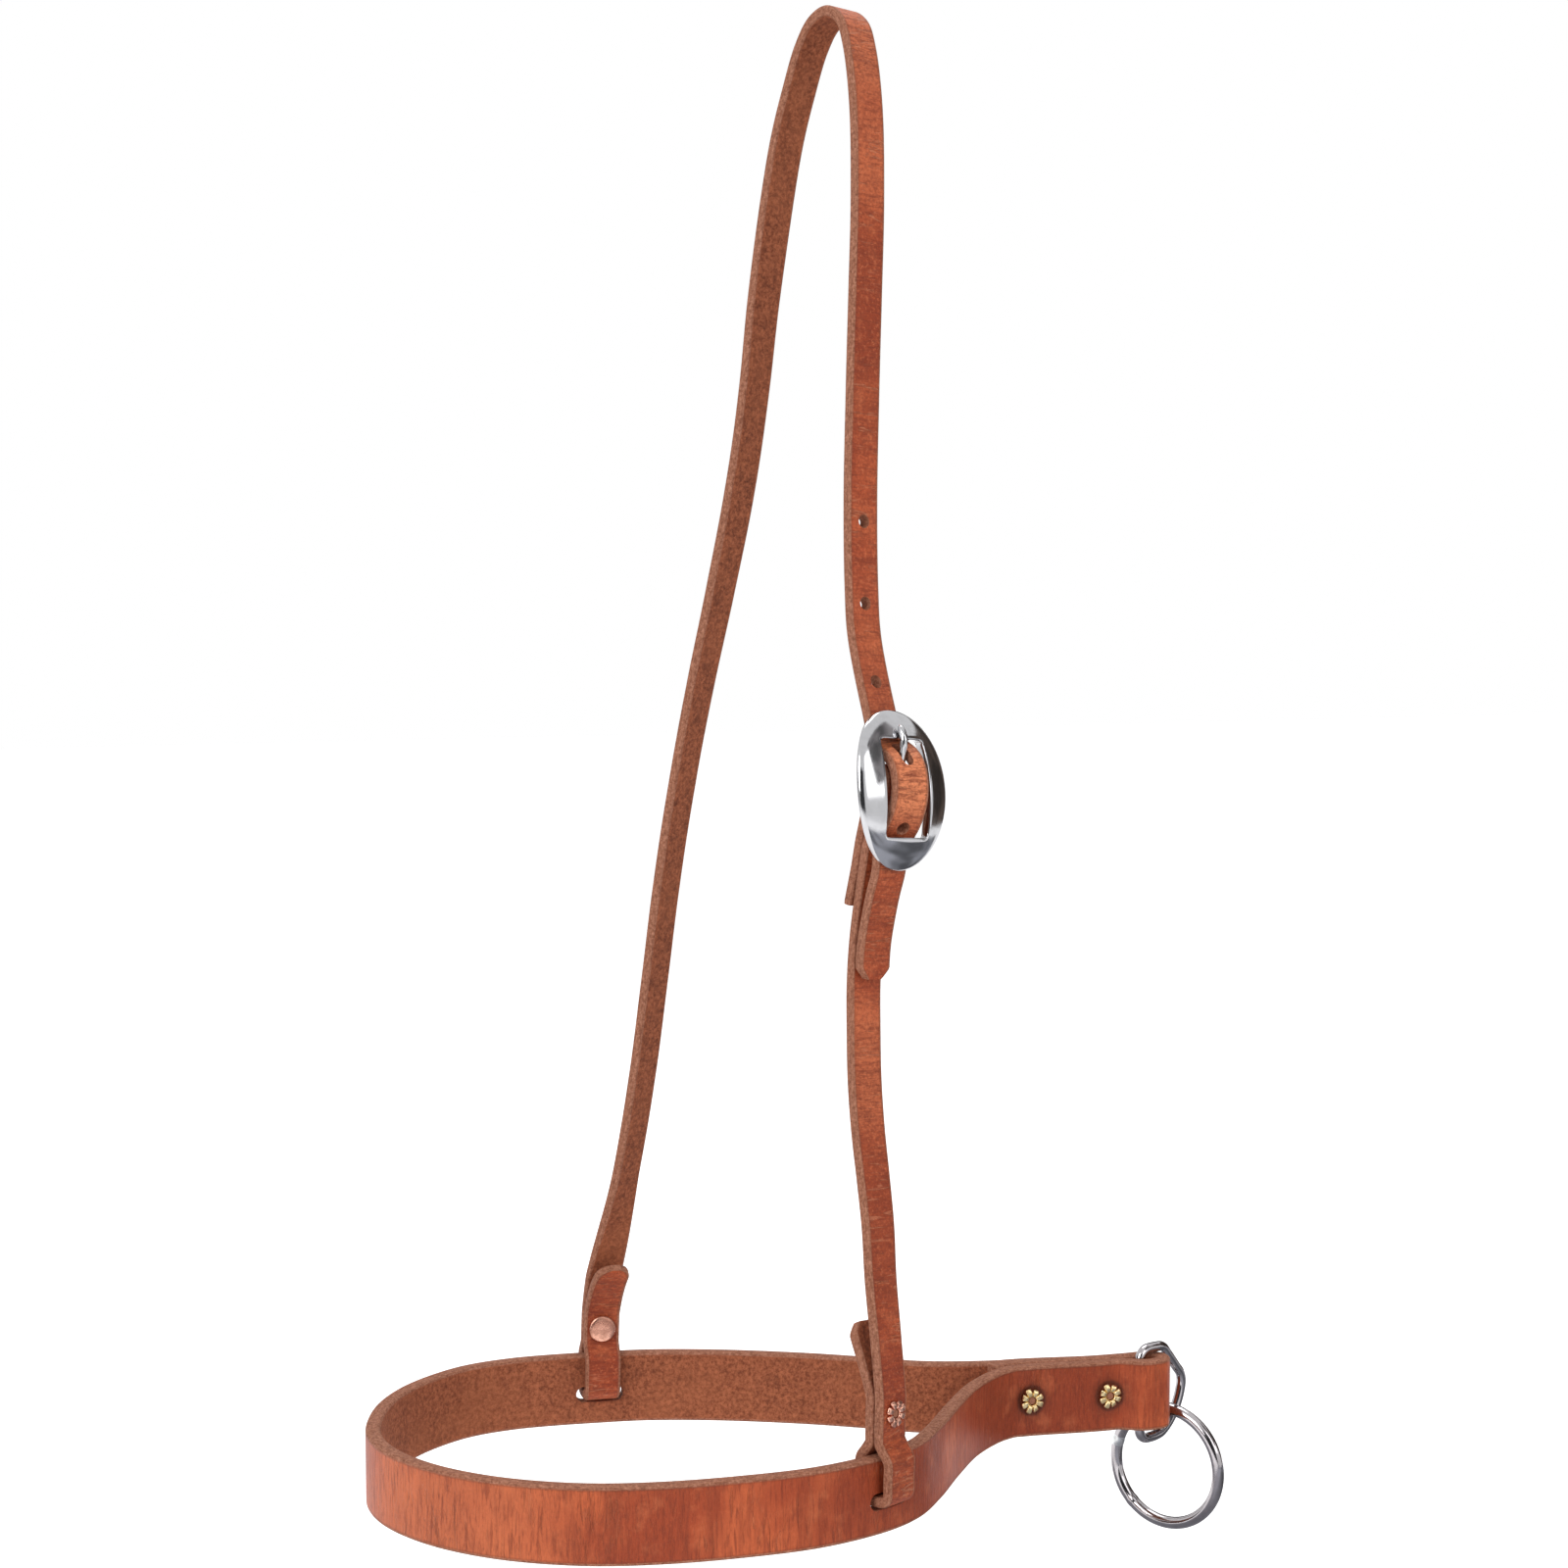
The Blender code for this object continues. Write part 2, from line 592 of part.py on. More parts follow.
def add_piece(name, mesh, paint, body, matrix=None):
    """One piece of the part, carried by its body's empty."""
    made = new_object(name, mesh, PARTS)
    mesh.materials.clear()
    mesh.materials.append(paint)
    if matrix is not None:
        mesh.transform(matrix)
    mesh.transform(Matrix.Translation(-body.location - POLL))
    made.parent = body
    shade(made)
    return made


def bench(matrix):
    """Cutter matrix: from the slots' middle to the part's own origin."""
    return Matrix.Translation(-POLL) @ matrix


def add_body(name, place):
    empty = new_object(name, None, PARTS)
    empty.location = place - POLL
    return empty


# The poll carries the part: the origin is on the underside of the crown
POLL = hang(CROWN_SIDE, CROWN_HEIGHT - CHEEK_THICKNESS / 2, 0)


def rivet_meshes(grip, flower):
    """Tubular rivet along Z: flat head below, rolled petals above grip, and its plug."""
    head = RIVET_HEAD_DIAMETER / 2
    shank = RIVET_SHANK_DIAMETER / 2
    bore = RIVET_BORE_DIAMETER / 2
    thick = RIVET_HEAD_THICKNESS
    rise = PETAL_THICKNESS
    low = -CLEARANCE
    top = grip + CLEARANCE
    seat = top - PLUG_LENGTH
    profile = [(0, seat), (bore, seat), (bore, top + rise * PETAL_TOP_SHARE)]
    profile += [(bore + (shank - bore) / 2, top + rise), (shank, top + rise * PETAL_TOP_SHARE)]
    profile += [(shank, low), (head - thick / 2, low), (head, low - thick / 3)]
    profile += [(head, low - thick * 2 / 3), (head - thick / 2, low - thick), (0, low - thick)]
    mesh = bpy.data.meshes.new("rivet")
    mesh.from_pydata([(x, 0, z) for x, z in profile], [(i, i + 1) for i in range(len(profile) - 1)],
                     [])
    body = new_object("rivet", mesh, CUTTERS)
    turn = body.modifiers.new("turn", "SCREW")
    turn.steps = 20
    turn.render_steps = 20
    turn.use_merge_vertices = True
    turn.merge_threshold = WELD_DISTANCE
    petals = bpy.data.meshes.new("petals")
    work = bmesh.new()
    reach = flower / 2
    inner = (shank + bore) / 2
    for index in range(PETAL_COUNT):
        made = bmesh.ops.create_uvsphere(work, u_segments=6, v_segments=5, radius=1)
        size = Matrix.Diagonal(((reach - inner) / 2, reach * PETAL_WIDTH_SHARE, rise / 2, 1))
        angle = 2 * math.pi * index / PETAL_COUNT
        place = Matrix.Rotation(angle, 4, "Z") @ Matrix.Translation(
            ((reach + inner) / 2, 0, top + rise / 2))
        bmesh.ops.transform(work, matrix=place @ size, verts=made["verts"])
    work.to_mesh(petals)
    work.free()
    tool = cutter(petals, Matrix.Identity(4))
    shell = applied(body)
    weld(shell)
    bpy.data.objects.remove(body)
    whole = new_object("rivet", shell, CUTTERS)
    cut(whole, tool, "UNION")
    finished = applied(whole)
    weld(finished)
    bpy.data.objects.remove(whole)
    bpy.data.objects.remove(tool)
    plug = cylinder_mesh(PLUG_DIAMETER / 2, PLUG_LENGTH, 16, "plug")
    plug.transform(Matrix.Translation((0, 0, seat + CLEARANCE + PLUG_LENGTH / 2)))
    return finished, plug


def add_rivet(name, matrix, grip, flower, paint, straps, body):
    """Rivet with its plug, and its hole through the straps that it closes."""
    mesh, plug = rivet_meshes(grip, flower)
    hole = cylinder_mesh(RIVET_SHANK_DIAMETER / 2 + CLEARANCE, grip + 2 * OVERRUN, 20, "hole")
    hole.transform(Matrix.Translation((0, 0, grip / 2)))
    tool = cutter(hole, bench(matrix))
    for strap in straps:
        cut(strap, tool)
    add_piece(name, mesh, paint, body, matrix)
    add_piece(name + "_plug", plug, LEATHER, body, matrix)


def add_noseband(body):
    mesh = strap_mesh("noseband_strap", NOSEBAND_ROUTE, NOSEBAND_WIDTH, NOSEBAND_THICKNESS,
                      noseband_place)
    strap = add_piece("noseband_strap", mesh, LEATHER, body)
    height = CHEEK_THICKNESS + 2 * HANGER_PLAY
    for place, heading in ((NEAR_SLOT, NEAR_HEADING), (FAR_SLOT, FAR_HEADING)):
        matrix = Matrix.Translation((place.x, place.y, SLOT_HEIGHT_ABOVE_EDGE))
        matrix = matrix @ Matrix.Rotation(heading, 4, "Z")
        slot = slot_mesh(SLOT_LENGTH, height, NOSEBAND_THICKNESS + 2 * OVERRUN)
        cut(strap, cutter(slot, bench(matrix)))
    return strap


def strap_stations(route):
    """Distance along a route of each of its points."""
    steps = [0.0]
    for before, after in zip(route, route[1:]):
        steps.append(steps[-1] + float(np.linalg.norm(np.array(after) - np.array(before))))
    return steps


def nearest_station(route, steps, place):
    """Distance along a route of its point nearest to a place."""
    best = (math.inf, 0.0)
    for index in range(len(route) - 1):
        start = Vector(route[index])
        run = Vector(route[index + 1]) - start
        share = min(1.0, max(0.0, (place - start).dot(run) / run.length_squared))
        gap = (start + run * share - place).length
        best = min(best, (gap, steps[index] + run.length * share))
    return best[1]


def strap_frame(route, distance):
    """Frame on a headstall strap: across it, along its run, and square to it."""
    steps = strap_stations(route)

    def at(place):
        return [float(np.interp(place, steps, [point[k] for point in route])) for k in (0, 1)]

    before = at(distance - CHEEK_THICKNESS / 2)
    after = at(distance + CHEEK_THICKNESS / 2)
    slope = math.atan2(after[0] - before[0], after[1] - before[1])
    side, height = at(distance)
    return plane_basis(side, height) @ Matrix.Rotation(slope, 4, "X")


def punch(strap, matrix, length, width, depth):
    """Hole square to the strap, lengthened along its run."""
    hole = slot_mesh(length, width, depth)
    quarter = math.radians(90)
    hole.transform(Matrix.Rotation(quarter, 4, "Z") @ Matrix.Rotation(quarter, 4, "X"))
    cut(strap, cutter(hole, bench(matrix)))


def trim(strap, matrix, clips, overrun=OVERRUN):
    """Cut the corners off a strap's end. Each clip is a turn and the cut's own reach."""
    for turn, reach in clips:
        block = bpy.data.meshes.new("block")
        work = bmesh.new()
        side = 2.6 * CHEEK_WIDTH
        bmesh.ops.create_cube(work, size=side)
        depth = (CHEEK_THICKNESS + 2 * overrun) / side
        bmesh.ops.scale(work, vec=(1, 1, depth), verts=work.verts)
        work.to_mesh(block)
        work.free()
        turned = matrix @ Matrix.Rotation(turn, 4, "Z")
        tool = cutter(block, bench(turned @ Matrix.Translation((0, reach + side / 2, 0))))
        cut(strap, tool)


def corner_clips(clip):
    """Both corners of a strap's end taken off at 45 degrees."""
    reach = (CHEEK_WIDTH / 2 - clip) * math.sqrt(0.5)
    return ((math.radians(45), reach), (math.radians(-45), reach))


def round_clips(radius):
    """A rounded tip, cut in two flats a side."""
    clips = []
    for turn in (60, 25, -60, -25):
        angle = math.radians(abs(turn))
        side = (CHEEK_WIDTH / 2 - radius) * math.sin(angle)
        clips.append((math.radians(turn), side + radius - radius * math.cos(angle)))
    return clips


def add_crown_strap(body):
    route = curve_through(crown_route(), CHEEK_WIDTH * STRAP_STEP_SHARE)
    mesh = strap_mesh("crown_strap", route, CHEEK_WIDTH, CHEEK_THICKNESS, hang)
    strap = add_piece("crown_strap", mesh, LEATHER, body)
    steps = strap_stations(route)
    here = nearest_station(route, steps, Vector(tongue_crossing()))
    depth = CHEEK_THICKNESS + 2 * OVERRUN
    for count in range(-HOLES_BELOW_TONGUE, HOLES_ABOVE_TONGUE + 1):
        if count:
            place = strap_frame(route, here - OPEN_HOLE_LEAD - count * HOLE_PITCH)
            punch(strap, place, HOLE_DIAMETER + CLEARANCE, HOLE_DIAMETER, depth)
    width = TONGUE_DIAMETER + 4 * CLEARANCE
    punch(strap, strap_frame(route, here), TONGUE_DIAMETER + 2 * TONGUE_PLAY, width, depth)
    trim(strap, strap_frame(route, steps[-1]), corner_clips(END_CLIP))
    back = strap_frame(route, 0) @ Matrix.Rotation(math.pi, 4, "Z")
    trim(strap, back, round_clips(TIP_RADIUS))
    return strap


def add_near_cheek_strap(body):
    route = curve_through(near_cheek_route(), CHEEK_WIDTH * STRAP_STEP_SHARE)
    mesh = strap_mesh("near_cheek_strap", route, CHEEK_WIDTH, CHEEK_THICKNESS, hang)
    strap = add_piece("near_cheek_strap", mesh, LEATHER, body)
    steps = strap_stations(route)
    back = strap_frame(route, 0) @ Matrix.Rotation(math.pi, 4, "Z")
    trim(strap, back, corner_clips(END_CLIP))
    trim(strap, strap_frame(route, steps[-1]), corner_clips(END_CLIP)[:1], CLEARANCE)
    eye = TONGUE_EYE_RADIUS + TONGUE_DIAMETER / 2
    low = eye + 4 * CLEARANCE
    high = CHAPE_RADIUS + CHEEK_THICKNESS / 2 + OVERRUN
    middle = plane_basis(BAR_PLACE[0], BAR_PLACE[1]) @ Matrix.Translation((0, (high - low) / 2, 0))
    punch(strap, middle, high + low, CHAPE_SLOT_WIDTH, 2 * high + 2 * OVERRUN)
    return strap


# Tongue: bent round the bar into an eye, it leaves the eye along a tangent
TONGUE_EYE_RADIUS = BAR_RADIUS + CLEARANCE + TONGUE_DIAMETER / 2


def tongue_route():
    """Tongue from its eye's end to its tip, up and out in the buckle's own frame."""
    bar = Vector((BAR_ABOVE_MIDDLE, BAR_FORWARD))
    half = WINDOW_LENGTH / 2
    rest = Vector((half, front_at(half) + TONGUE_DIAMETER / 2 + CLEARANCE))
    way = rest - bar
    heading = math.atan2(way.y, way.x) - math.asin(TONGUE_EYE_RADIUS / way.length)
    leaves = math.degrees(heading) + 90
    points = arc(bar, TONGUE_EYE_RADIUS, leaves + TONGUE_EYE_TURN, leaves, 15)
    ahead = Vector((math.cos(heading), math.sin(heading)))
    start = Vector(points[-1])
    length = (rest - start).length
    points += [tuple(start + ahead * length * share) for share in (0.33, 0.66, 1.0)]
    past = half + TONGUE_TIP_PAST_WINDOW
    points += [(past, front_at(past) + TONGUE_DIAMETER / 2 + CLEARANCE)]
    return points


def tongue_crossing():
    """Where the tongue passes through the crown strap."""
    points = tongue_route()
    start = Vector(points[14])
    rest = Vector(points[17])
    ahead = (rest - start).normalized()
    reach = math.sqrt(OVER_CHAPE_RADIUS ** 2 - TONGUE_EYE_RADIUS ** 2)
    place = start + ahead * reach
    return in_frame(place.x, place.y)


def buckle_basis():
    """Frame of the buckle: across it, up it and out of its face, at its back's middle."""
    place = plane_basis(BAR_PLACE[0], BAR_PLACE[1])
    place = place @ Matrix.Rotation(-FRAME_TILT, 4, "X")
    return place @ Matrix.Translation((FRAME_SHIFT, -BAR_ABOVE_MIDDLE, -BAR_FORWARD))


def wire_mesh(name, points, diameter, cyclic, sides):
    """Round wire along points given in three dimensions."""
    curve = bpy.data.curves.new(name, "CURVE")
    curve.dimensions = "3D"
    spline = curve.splines.new("POLY")
    spline.points.add(len(points) - 1)
    for knot, point in zip(spline.points, points):
        knot.co = (*point, 1)
    spline.use_cyclic_u = cyclic
    curve.twist_mode = "MINIMUM"
    curve.bevel_depth = diameter / 2
    curve.bevel_resolution = sides
    curve.use_fill_caps = not cyclic
    return mesh_of(new_object(name, curve, CUTTERS))


def box_mesh(size, place):
    mesh = bpy.data.meshes.new("box")
    work = bmesh.new()
    bmesh.ops.create_cube(work, size=1)
    bmesh.ops.scale(work, vec=size, verts=work.verts)
    bmesh.ops.translate(work, vec=place, verts=work.verts)
    work.to_mesh(mesh)
    work.free()
    return mesh


def frame_mesh():
    """Domed oval, bowed from end to end, with its window cut and its bar dropped behind it."""
    dome = bpy.data.meshes.new("dome")
    work = bmesh.new()
    bmesh.ops.create_uvsphere(work, u_segments=48, v_segments=20, radius=1)
    for vertex in work.verts:
        around = math.atan2(vertex.co.y, vertex.co.x)
        swell = 1 + FRAME_SQUARENESS_SHARE * math.sin(2 * around) ** 2
        vertex.co.x *= FRAME_WIDTH / 2 * swell
        vertex.co.y *= FRAME_LENGTH / 2 * swell
        vertex.co.z *= FRAME_DOME
    everything = list(work.verts) + list(work.edges) + list(work.faces)
    sliced = bmesh.ops.bisect_plane(work, geom=everything, plane_co=(0, 0, -FRAME_DOME / 6),
                                    plane_no=(0, 0, -1), clear_outer=True)
    edges = [item for item in sliced["geom_cut"] if isinstance(item, bmesh.types.BMEdge)]
    bmesh.ops.triangle_fill(work, use_beauty=True, use_dissolve=False, edges=edges)
    for vertex in work.verts:
        vertex.co.z += back_at(vertex.co.y)
    bmesh.ops.recalc_face_normals(work, faces=work.faces)
    work.to_mesh(dome)
    work.free()
    frame = new_object("frame", dome, CUTTERS)
    half_width = WINDOW_WIDTH / 2 - WINDOW_CORNER
    half_length = WINDOW_LENGTH / 2 - WINDOW_CORNER
    outline = []
    for x, y, start in ((1, 1, 0), (-1, 1, 90), (-1, -1, 180), (1, -1, 270)):
        outline += arc((x * half_width, y * half_length), WINDOW_CORNER, start, start + 90, 4)
    window = spline_curve("window", outline, True)
    window.fill_mode = "BOTH"
    window.extrude = FRAME_DOME + FRAME_BOW + OVERRUN
    tools = [cutter(mesh_of(new_object("window", window, CUTTERS)), Matrix.Identity(4))]
    cut(frame, tools[0])
    inner = WINDOW_WIDTH / 2 + CLEARANCE
    low = BAR_FORWARD - BAR_RADIUS * 1.15
    high = back_at(BAR_ABOVE_MIDDLE) + FRAME_DOME / 2
    for side in (-1, 1):
        size = (LUG_WIDTH, BAR_DIAMETER * 1.2, high - low)
        place = (side * (inner + LUG_WIDTH / 2), BAR_ABOVE_MIDDLE, (high + low) / 2)
        tools.append(cutter(box_mesh(size, place), Matrix.Identity(4)))
        cut(frame, tools[-1], "UNION")
    bar = cylinder_mesh(BAR_RADIUS, WINDOW_WIDTH + LUG_WIDTH, 20, "bar")
    bar.transform(Matrix.Translation((0, BAR_ABOVE_MIDDLE, BAR_FORWARD)) @
                  Matrix.Rotation(math.radians(90), 4, "Y"))
    tools.append(cutter(bar, Matrix.Identity(4)))
    cut(frame, tools[-1], "UNION")
    mesh = applied(frame)
    weld(mesh)
    bpy.data.objects.remove(frame)
    for tool in tools:
        bpy.data.objects.remove(tool)
    return mesh


def dee_points():
    """The dee's wire from its bar's foot round to its bar's head, out and up from its bar."""
    half = (DEE_INNER_HEIGHT + DEE_WIRE_DIAMETER) / 2
    round_off = DEE_CORNER_RADIUS
    head = arc((round_off, half - round_off), round_off, 180, 90, 5)
    foot = arc((round_off, round_off - half), round_off, 270, 180, 5)
    legs = curve_through([head[-1]] + [(out * DEE_DEPTH, up * half) for out, up in DEE_SHARES] +
                         [foot[0]], DEE_WIRE_DIAMETER * 0.7)
    return head[:-1] + [tuple(point) for point in legs] + foot[1:]


def in_dee(out, up):
    """Place of a point of the dee, out and up from its bar's middle."""
    return DEE_MIDDLE + Vector((out * math.cos(DEE_ANGLE), out * math.sin(DEE_ANGLE), up))


def by_dee(shares):
    return in_dee(shares[0] * DEE_DEPTH, shares[1] * (DEE_INNER_HEIGHT + DEE_WIRE_DIAMETER) / 2)


def ring_centre():
    """Centre of the ring, hung by a point of its wire from a place inside the dee."""
    radius = (RING_OUTER_DIAMETER - RING_WIRE_DIAMETER) / 2
    level = Vector((math.cos(RING_ANGLE), math.sin(RING_ANGLE), 0)) * math.cos(RING_TURN)
    return by_dee(RING_CROSSING_SHARES) - (level + Vector((0, 0, math.sin(RING_TURN)))) * radius


def add_dee(body):
    points = [in_dee(out, up) for out, up in dee_points()]
    mesh = wire_mesh("tail_dee", points, DEE_WIRE_DIAMETER, True, 3)
    add_piece("tail_dee", mesh, STEEL, body)


def add_ring(body):
    wire = RING_WIRE_DIAMETER / 2
    bpy.ops.mesh.primitive_torus_add(major_segments=56, minor_segments=12, minor_radius=wire,
                                     major_radius=RING_OUTER_DIAMETER / 2 - wire)
    made = bpy.context.object
    mesh = made.data
    bpy.data.objects.remove(made)
    centre = Matrix.Translation(ring_centre())
    upright = Matrix.Rotation(RING_ANGLE, 4, "Z") @ Matrix.Rotation(math.radians(90), 4, "X")
    mesh.transform(centre @ upright)
    add_piece("tie_down_ring", mesh, STEEL, body)


DEE_MIDDLE = Vector((BAR_X, FOLD_CENTRE_Y, NOSEBAND_WIDTH / 2 - TAIL_DROOP - DEE_SAG))


def main():
    headstall = add_body("headstall", POLL)
    noseband = add_body("noseband", Vector((MIDDLE.x, MIDDLE.y, SLOT_HEIGHT_ABOVE_EDGE)))
    bar = buckle_basis() @ Vector((0, BAR_ABOVE_MIDDLE, BAR_FORWARD))
    buckle = add_body("buckle", bar)
    tongue = add_body("tongue", bar)
    dee = add_body("dee", DEE_MIDDLE)
    ring = add_body("ring", by_dee(RING_SEAT_SHARES))
    loop = add_noseband(noseband)
    crown = add_crown_strap(headstall)
    cheek = add_near_cheek_strap(headstall)

    pair = 2 * CHEEK_THICKNESS + SEAM_GAP
    inside = Matrix.Translation((0, 0, -pair / 2))
    far = plane_basis(-HALF_SPREAD, NOSEBAND_WIDTH + FAR_RIVET_ABOVE_NOSEBAND)
    far = far @ Matrix.Rotation(math.pi, 4, "Y") @ inside
    near = plane_basis(HALF_SPREAD, NOSEBAND_WIDTH + NEAR_RIVET_ABOVE_NOSEBAND) @ inside
    chape = plane_basis(CHAPE_RIVET_PLACE.x, CHAPE_RIVET_PLACE.y)
    chape = chape @ Matrix.Rotation(CHAPE_SLOPE, 4, "X") @ inside
    add_rivet("far_hanger_rivet", far, pair, FLOWER_DIAMETER, COPPER, [crown], headstall)
    add_rivet("near_hanger_rivet", near, pair, FLOWER_DIAMETER, COPPER, [cheek], headstall)
    add_rivet("chape_rivet", chape, pair, CHAPE_FLOWER_DIAMETER, NICKEL, [cheek], headstall)
    stack = 3 * NOSEBAND_THICKNESS + 2 * SEAM_GAP
    back = LOWER_LAYERS_Y[2] + NOSEBAND_THICKNESS / 2
    for name, run in (("tail_rivet_front", 0), ("tail_rivet_rear", TAIL_RIVET_PITCH)):
        along = TAIL_START_X + TAIL_RIVET_INSET + run
        place = Vector((along, back, TAIL_RIVET_HEIGHT + droop_at(along)))
        matrix = basis(place, Vector((1, 0, 0)), Vector((0, 0, 1)), Vector((0, -1, 0)))
        add_rivet(name, matrix, stack, FLOWER_DIAMETER, BRASS, [loop], noseband)

    add_piece("buckle_frame", frame_mesh(), STAINLESS, buckle, buckle_basis())
    points = [(-FRAME_SHIFT, up, out) for up, out in tongue_route()]
    add_piece("buckle_tongue", wire_mesh("tongue", points, TONGUE_DIAMETER, False, 2),
              STAINLESS, tongue, buckle_basis())
    add_dee(dee)
    add_ring(ring)


for old in list(bpy.data.objects):
    bpy.data.objects.remove(old, do_unlink=True)
PARTS = bpy.data.collections.new("bridle_noseband")
CUTTERS = bpy.data.collections.new("cutters")
bpy.context.scene.collection.children.link(PARTS)
bpy.context.scene.collection.children.link(CUTTERS)
LEATHER = material("harness_leather", (0.36, 0.10, 0.045), 0.55, 0.0)
STAINLESS = material("stainless", (0.62, 0.60, 0.60), 0.18, 1.0)
NICKEL = material("nickelled_steel", (0.55, 0.53, 0.53), 0.25, 1.0)
COPPER = material("copper", (0.55, 0.22, 0.13), 0.35, 1.0)
STEEL = material("steel", (0.30, 0.29, 0.29), 0.32, 1.0)
BRASS = material("brass", (0.66, 0.45, 0.15), 0.28, 1.0)
main()
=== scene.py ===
# %% [markdown]
# # A western tie-down noseband
#
# The object is a loop of inch-wide harness leather that goes round a horse's nose, hung from
# a half-inch crown strap with a buckle on the near cheek. Its two ends are riveted together
# behind the jaw, where the fold holds a dee and the dee holds a loose ring.
#
# The solid model gives the sizes, the joints and a plain surface. This notebook dresses it:
# every strap, wire and rivet is worked out again as a fine surface in numpy, in the same
# place, and each finish is painted with nodes alone.

# %% Load the solid model and keep its box
import math

import bmesh
import bpy
import mathutils
import numpy as np
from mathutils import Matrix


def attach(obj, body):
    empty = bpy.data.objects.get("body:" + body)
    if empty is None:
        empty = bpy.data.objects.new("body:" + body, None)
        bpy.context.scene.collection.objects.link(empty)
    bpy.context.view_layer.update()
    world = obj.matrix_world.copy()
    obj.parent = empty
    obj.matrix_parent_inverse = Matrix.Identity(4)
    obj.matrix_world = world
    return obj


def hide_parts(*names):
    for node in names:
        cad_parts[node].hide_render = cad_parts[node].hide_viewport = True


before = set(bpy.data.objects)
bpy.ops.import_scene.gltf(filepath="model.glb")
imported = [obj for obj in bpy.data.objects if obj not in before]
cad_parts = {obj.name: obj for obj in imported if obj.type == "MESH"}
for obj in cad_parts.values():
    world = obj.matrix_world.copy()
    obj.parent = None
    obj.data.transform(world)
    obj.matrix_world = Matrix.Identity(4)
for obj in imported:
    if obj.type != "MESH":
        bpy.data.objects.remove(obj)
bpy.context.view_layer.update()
print("solid pieces:", len(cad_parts))

# %% [markdown]
# ## Camera
#
# The photograph was taken from a little above the buckle, in front of the near cheek, with a
# lens long enough to keep both legs of the headstall almost the same size. The camera stands
# where that perspective puts it.

# %% Camera
def add(name, data):
    """Object of this mesh, light or camera, in the scene."""
    made = bpy.data.objects.new(name, data)
    bpy.context.scene.collection.objects.link(made)
    return made


camera = add("camera", bpy.data.cameras.new("camera"))
camera.location = (-0.36893, -0.96093, -0.17475)
camera.rotation_euler = (math.radians(85.5), 0, math.radians(-20))
camera.data.lens = 69.75
camera.data.sensor_width = 36
bpy.context.scene.camera = camera

# %% [markdown]
# ## Sizes
#
# Harness leather is cut to trade widths: one inch for the nose, half an inch for the cheeks.
# Everything is in metres, measured from the middle between the two slots in the nose loop, at
# the height of the loop's lower edge. One vector at the end moves it all to the poll.

# %% Sizes of the leather and the fittings
MM = 0.001
NOSE_WIDTH, NOSE_THICK = 25.4 * MM, 5.0 * MM
LOOP_LENGTH, LOOP_WIDTH, LOOP_FRONT = 231 * MM, 158.5 * MM, -124 * MM
SEAM, GAP = 0.3 * MM, 0.3 * MM
TAIL_LINE, TAIL_RUN = 8.9 * MM, 41 * MM
POCKET, SWELL, FOLD_SHIFT = 4.4 * MM, 8.5 * MM, 2.5 * MM
TURN_BACK = 7 * MM
FAR_SETBACK, FAR_DROP, FAR_DIP, DROP_RUN = 11.5 * MM, 0.9 * MM, 1.7 * MM, 75 * MM
TAIL_DROOP = 1.3 * MM
TAIL_RIVET_INSET, TAIL_RIVET_PITCH, TAIL_RIVET_UP = 6.1 * MM, 30.7 * MM, 13 * MM
DENT_RADIUS, DENT_DEPTH, NOSE_EDGE, CHEEK_EDGE = 5.3 * MM, 0.6 * MM, 1.1 * MM, 0.95 * MM
SLOT_LENGTH, SLOT_UP = 17 * MM, 11 * MM
NEAR_SLOT_X, FAR_SLOT_X = 25.5 * MM, -26.3 * MM
PLAY, BEND, SKEW = 1.1 * MM, 2.7 * MM, math.radians(4)
LEG_FLAT = 4.5 * MM
FAR_HANGER = dict(rivet_above=9.6 * MM, tail=24 * MM, splay=10.8 * MM)
NEAR_HANGER = dict(rivet_above=13.6 * MM, tail=27 * MM, splay=9.8 * MM)
CHEEK_WIDTH, CHEEK_THICK = 12.7 * MM, 3.5 * MM
CROWN_UP, CROWN_SIDE, CROWN_LEAN = 492.5 * MM, 12.3 * MM, 35.7 * MM
LEAN_LOW, LEAN_HIGH = 25 * MM, 65 * MM
END_CLIP, TIP_ROUND = 3.5 * MM, 4.5 * MM
OVER_BAR_ROLL, ROLL_IN, ROLL_OUT = math.radians(11), 12 * MM, 14 * MM
HOLE_PITCH, HOLE_WIDE, HOLE_LEAD = 27 * MM, 5.22 * MM, 2.4 * MM
HOLE_TAPER, HOLE_STRETCH = 0.58, 2.4 * MM
FREE_END, FREE_BEND, FREE_LAND = 35 * MM, 0.26, 0.68
CHAPE_TAIL, CHAPE_RIVET_DOWN, CHAPE_INWARD = 17 * MM, 24.5 * MM, 6.5 * MM
CHAPE_SLOPE = math.radians(8)
FRAME_LONG, FRAME_WIDE, FRAME_DOME, FRAME_BOW = 52.3 * MM, 37.4 * MM, 4.2 * MM, 4 * MM
WINDOW_LONG, WINDOW_WIDE = 31.8 * MM, 18 * MM
FRAME_TILT, FRAME_SIDE, FRAME_UP, FRAME_SHIFT = math.radians(10.5), 63.2 * MM, 237.1 * MM, 0.9 * MM
BAR_WIDE, BAR_ABOVE, BAR_FORWARD, LUG = 3.2 * MM, 3 * MM, 0.5 * MM, 2.2 * MM
RIM_PLAY, TONGUE_WIDE, TONGUE_PLAY, TONGUE_PAST = 2 * MM, 2.8 * MM, 2.2 * MM, 4.6 * MM
CHAPE_SLOT = 4.4 * MM
HEAD_WIDE, HEAD_THICK, SHANK_WIDE, BORE_WIDE = 9.5 * MM, 0.9 * MM, 4.2 * MM, 3 * MM
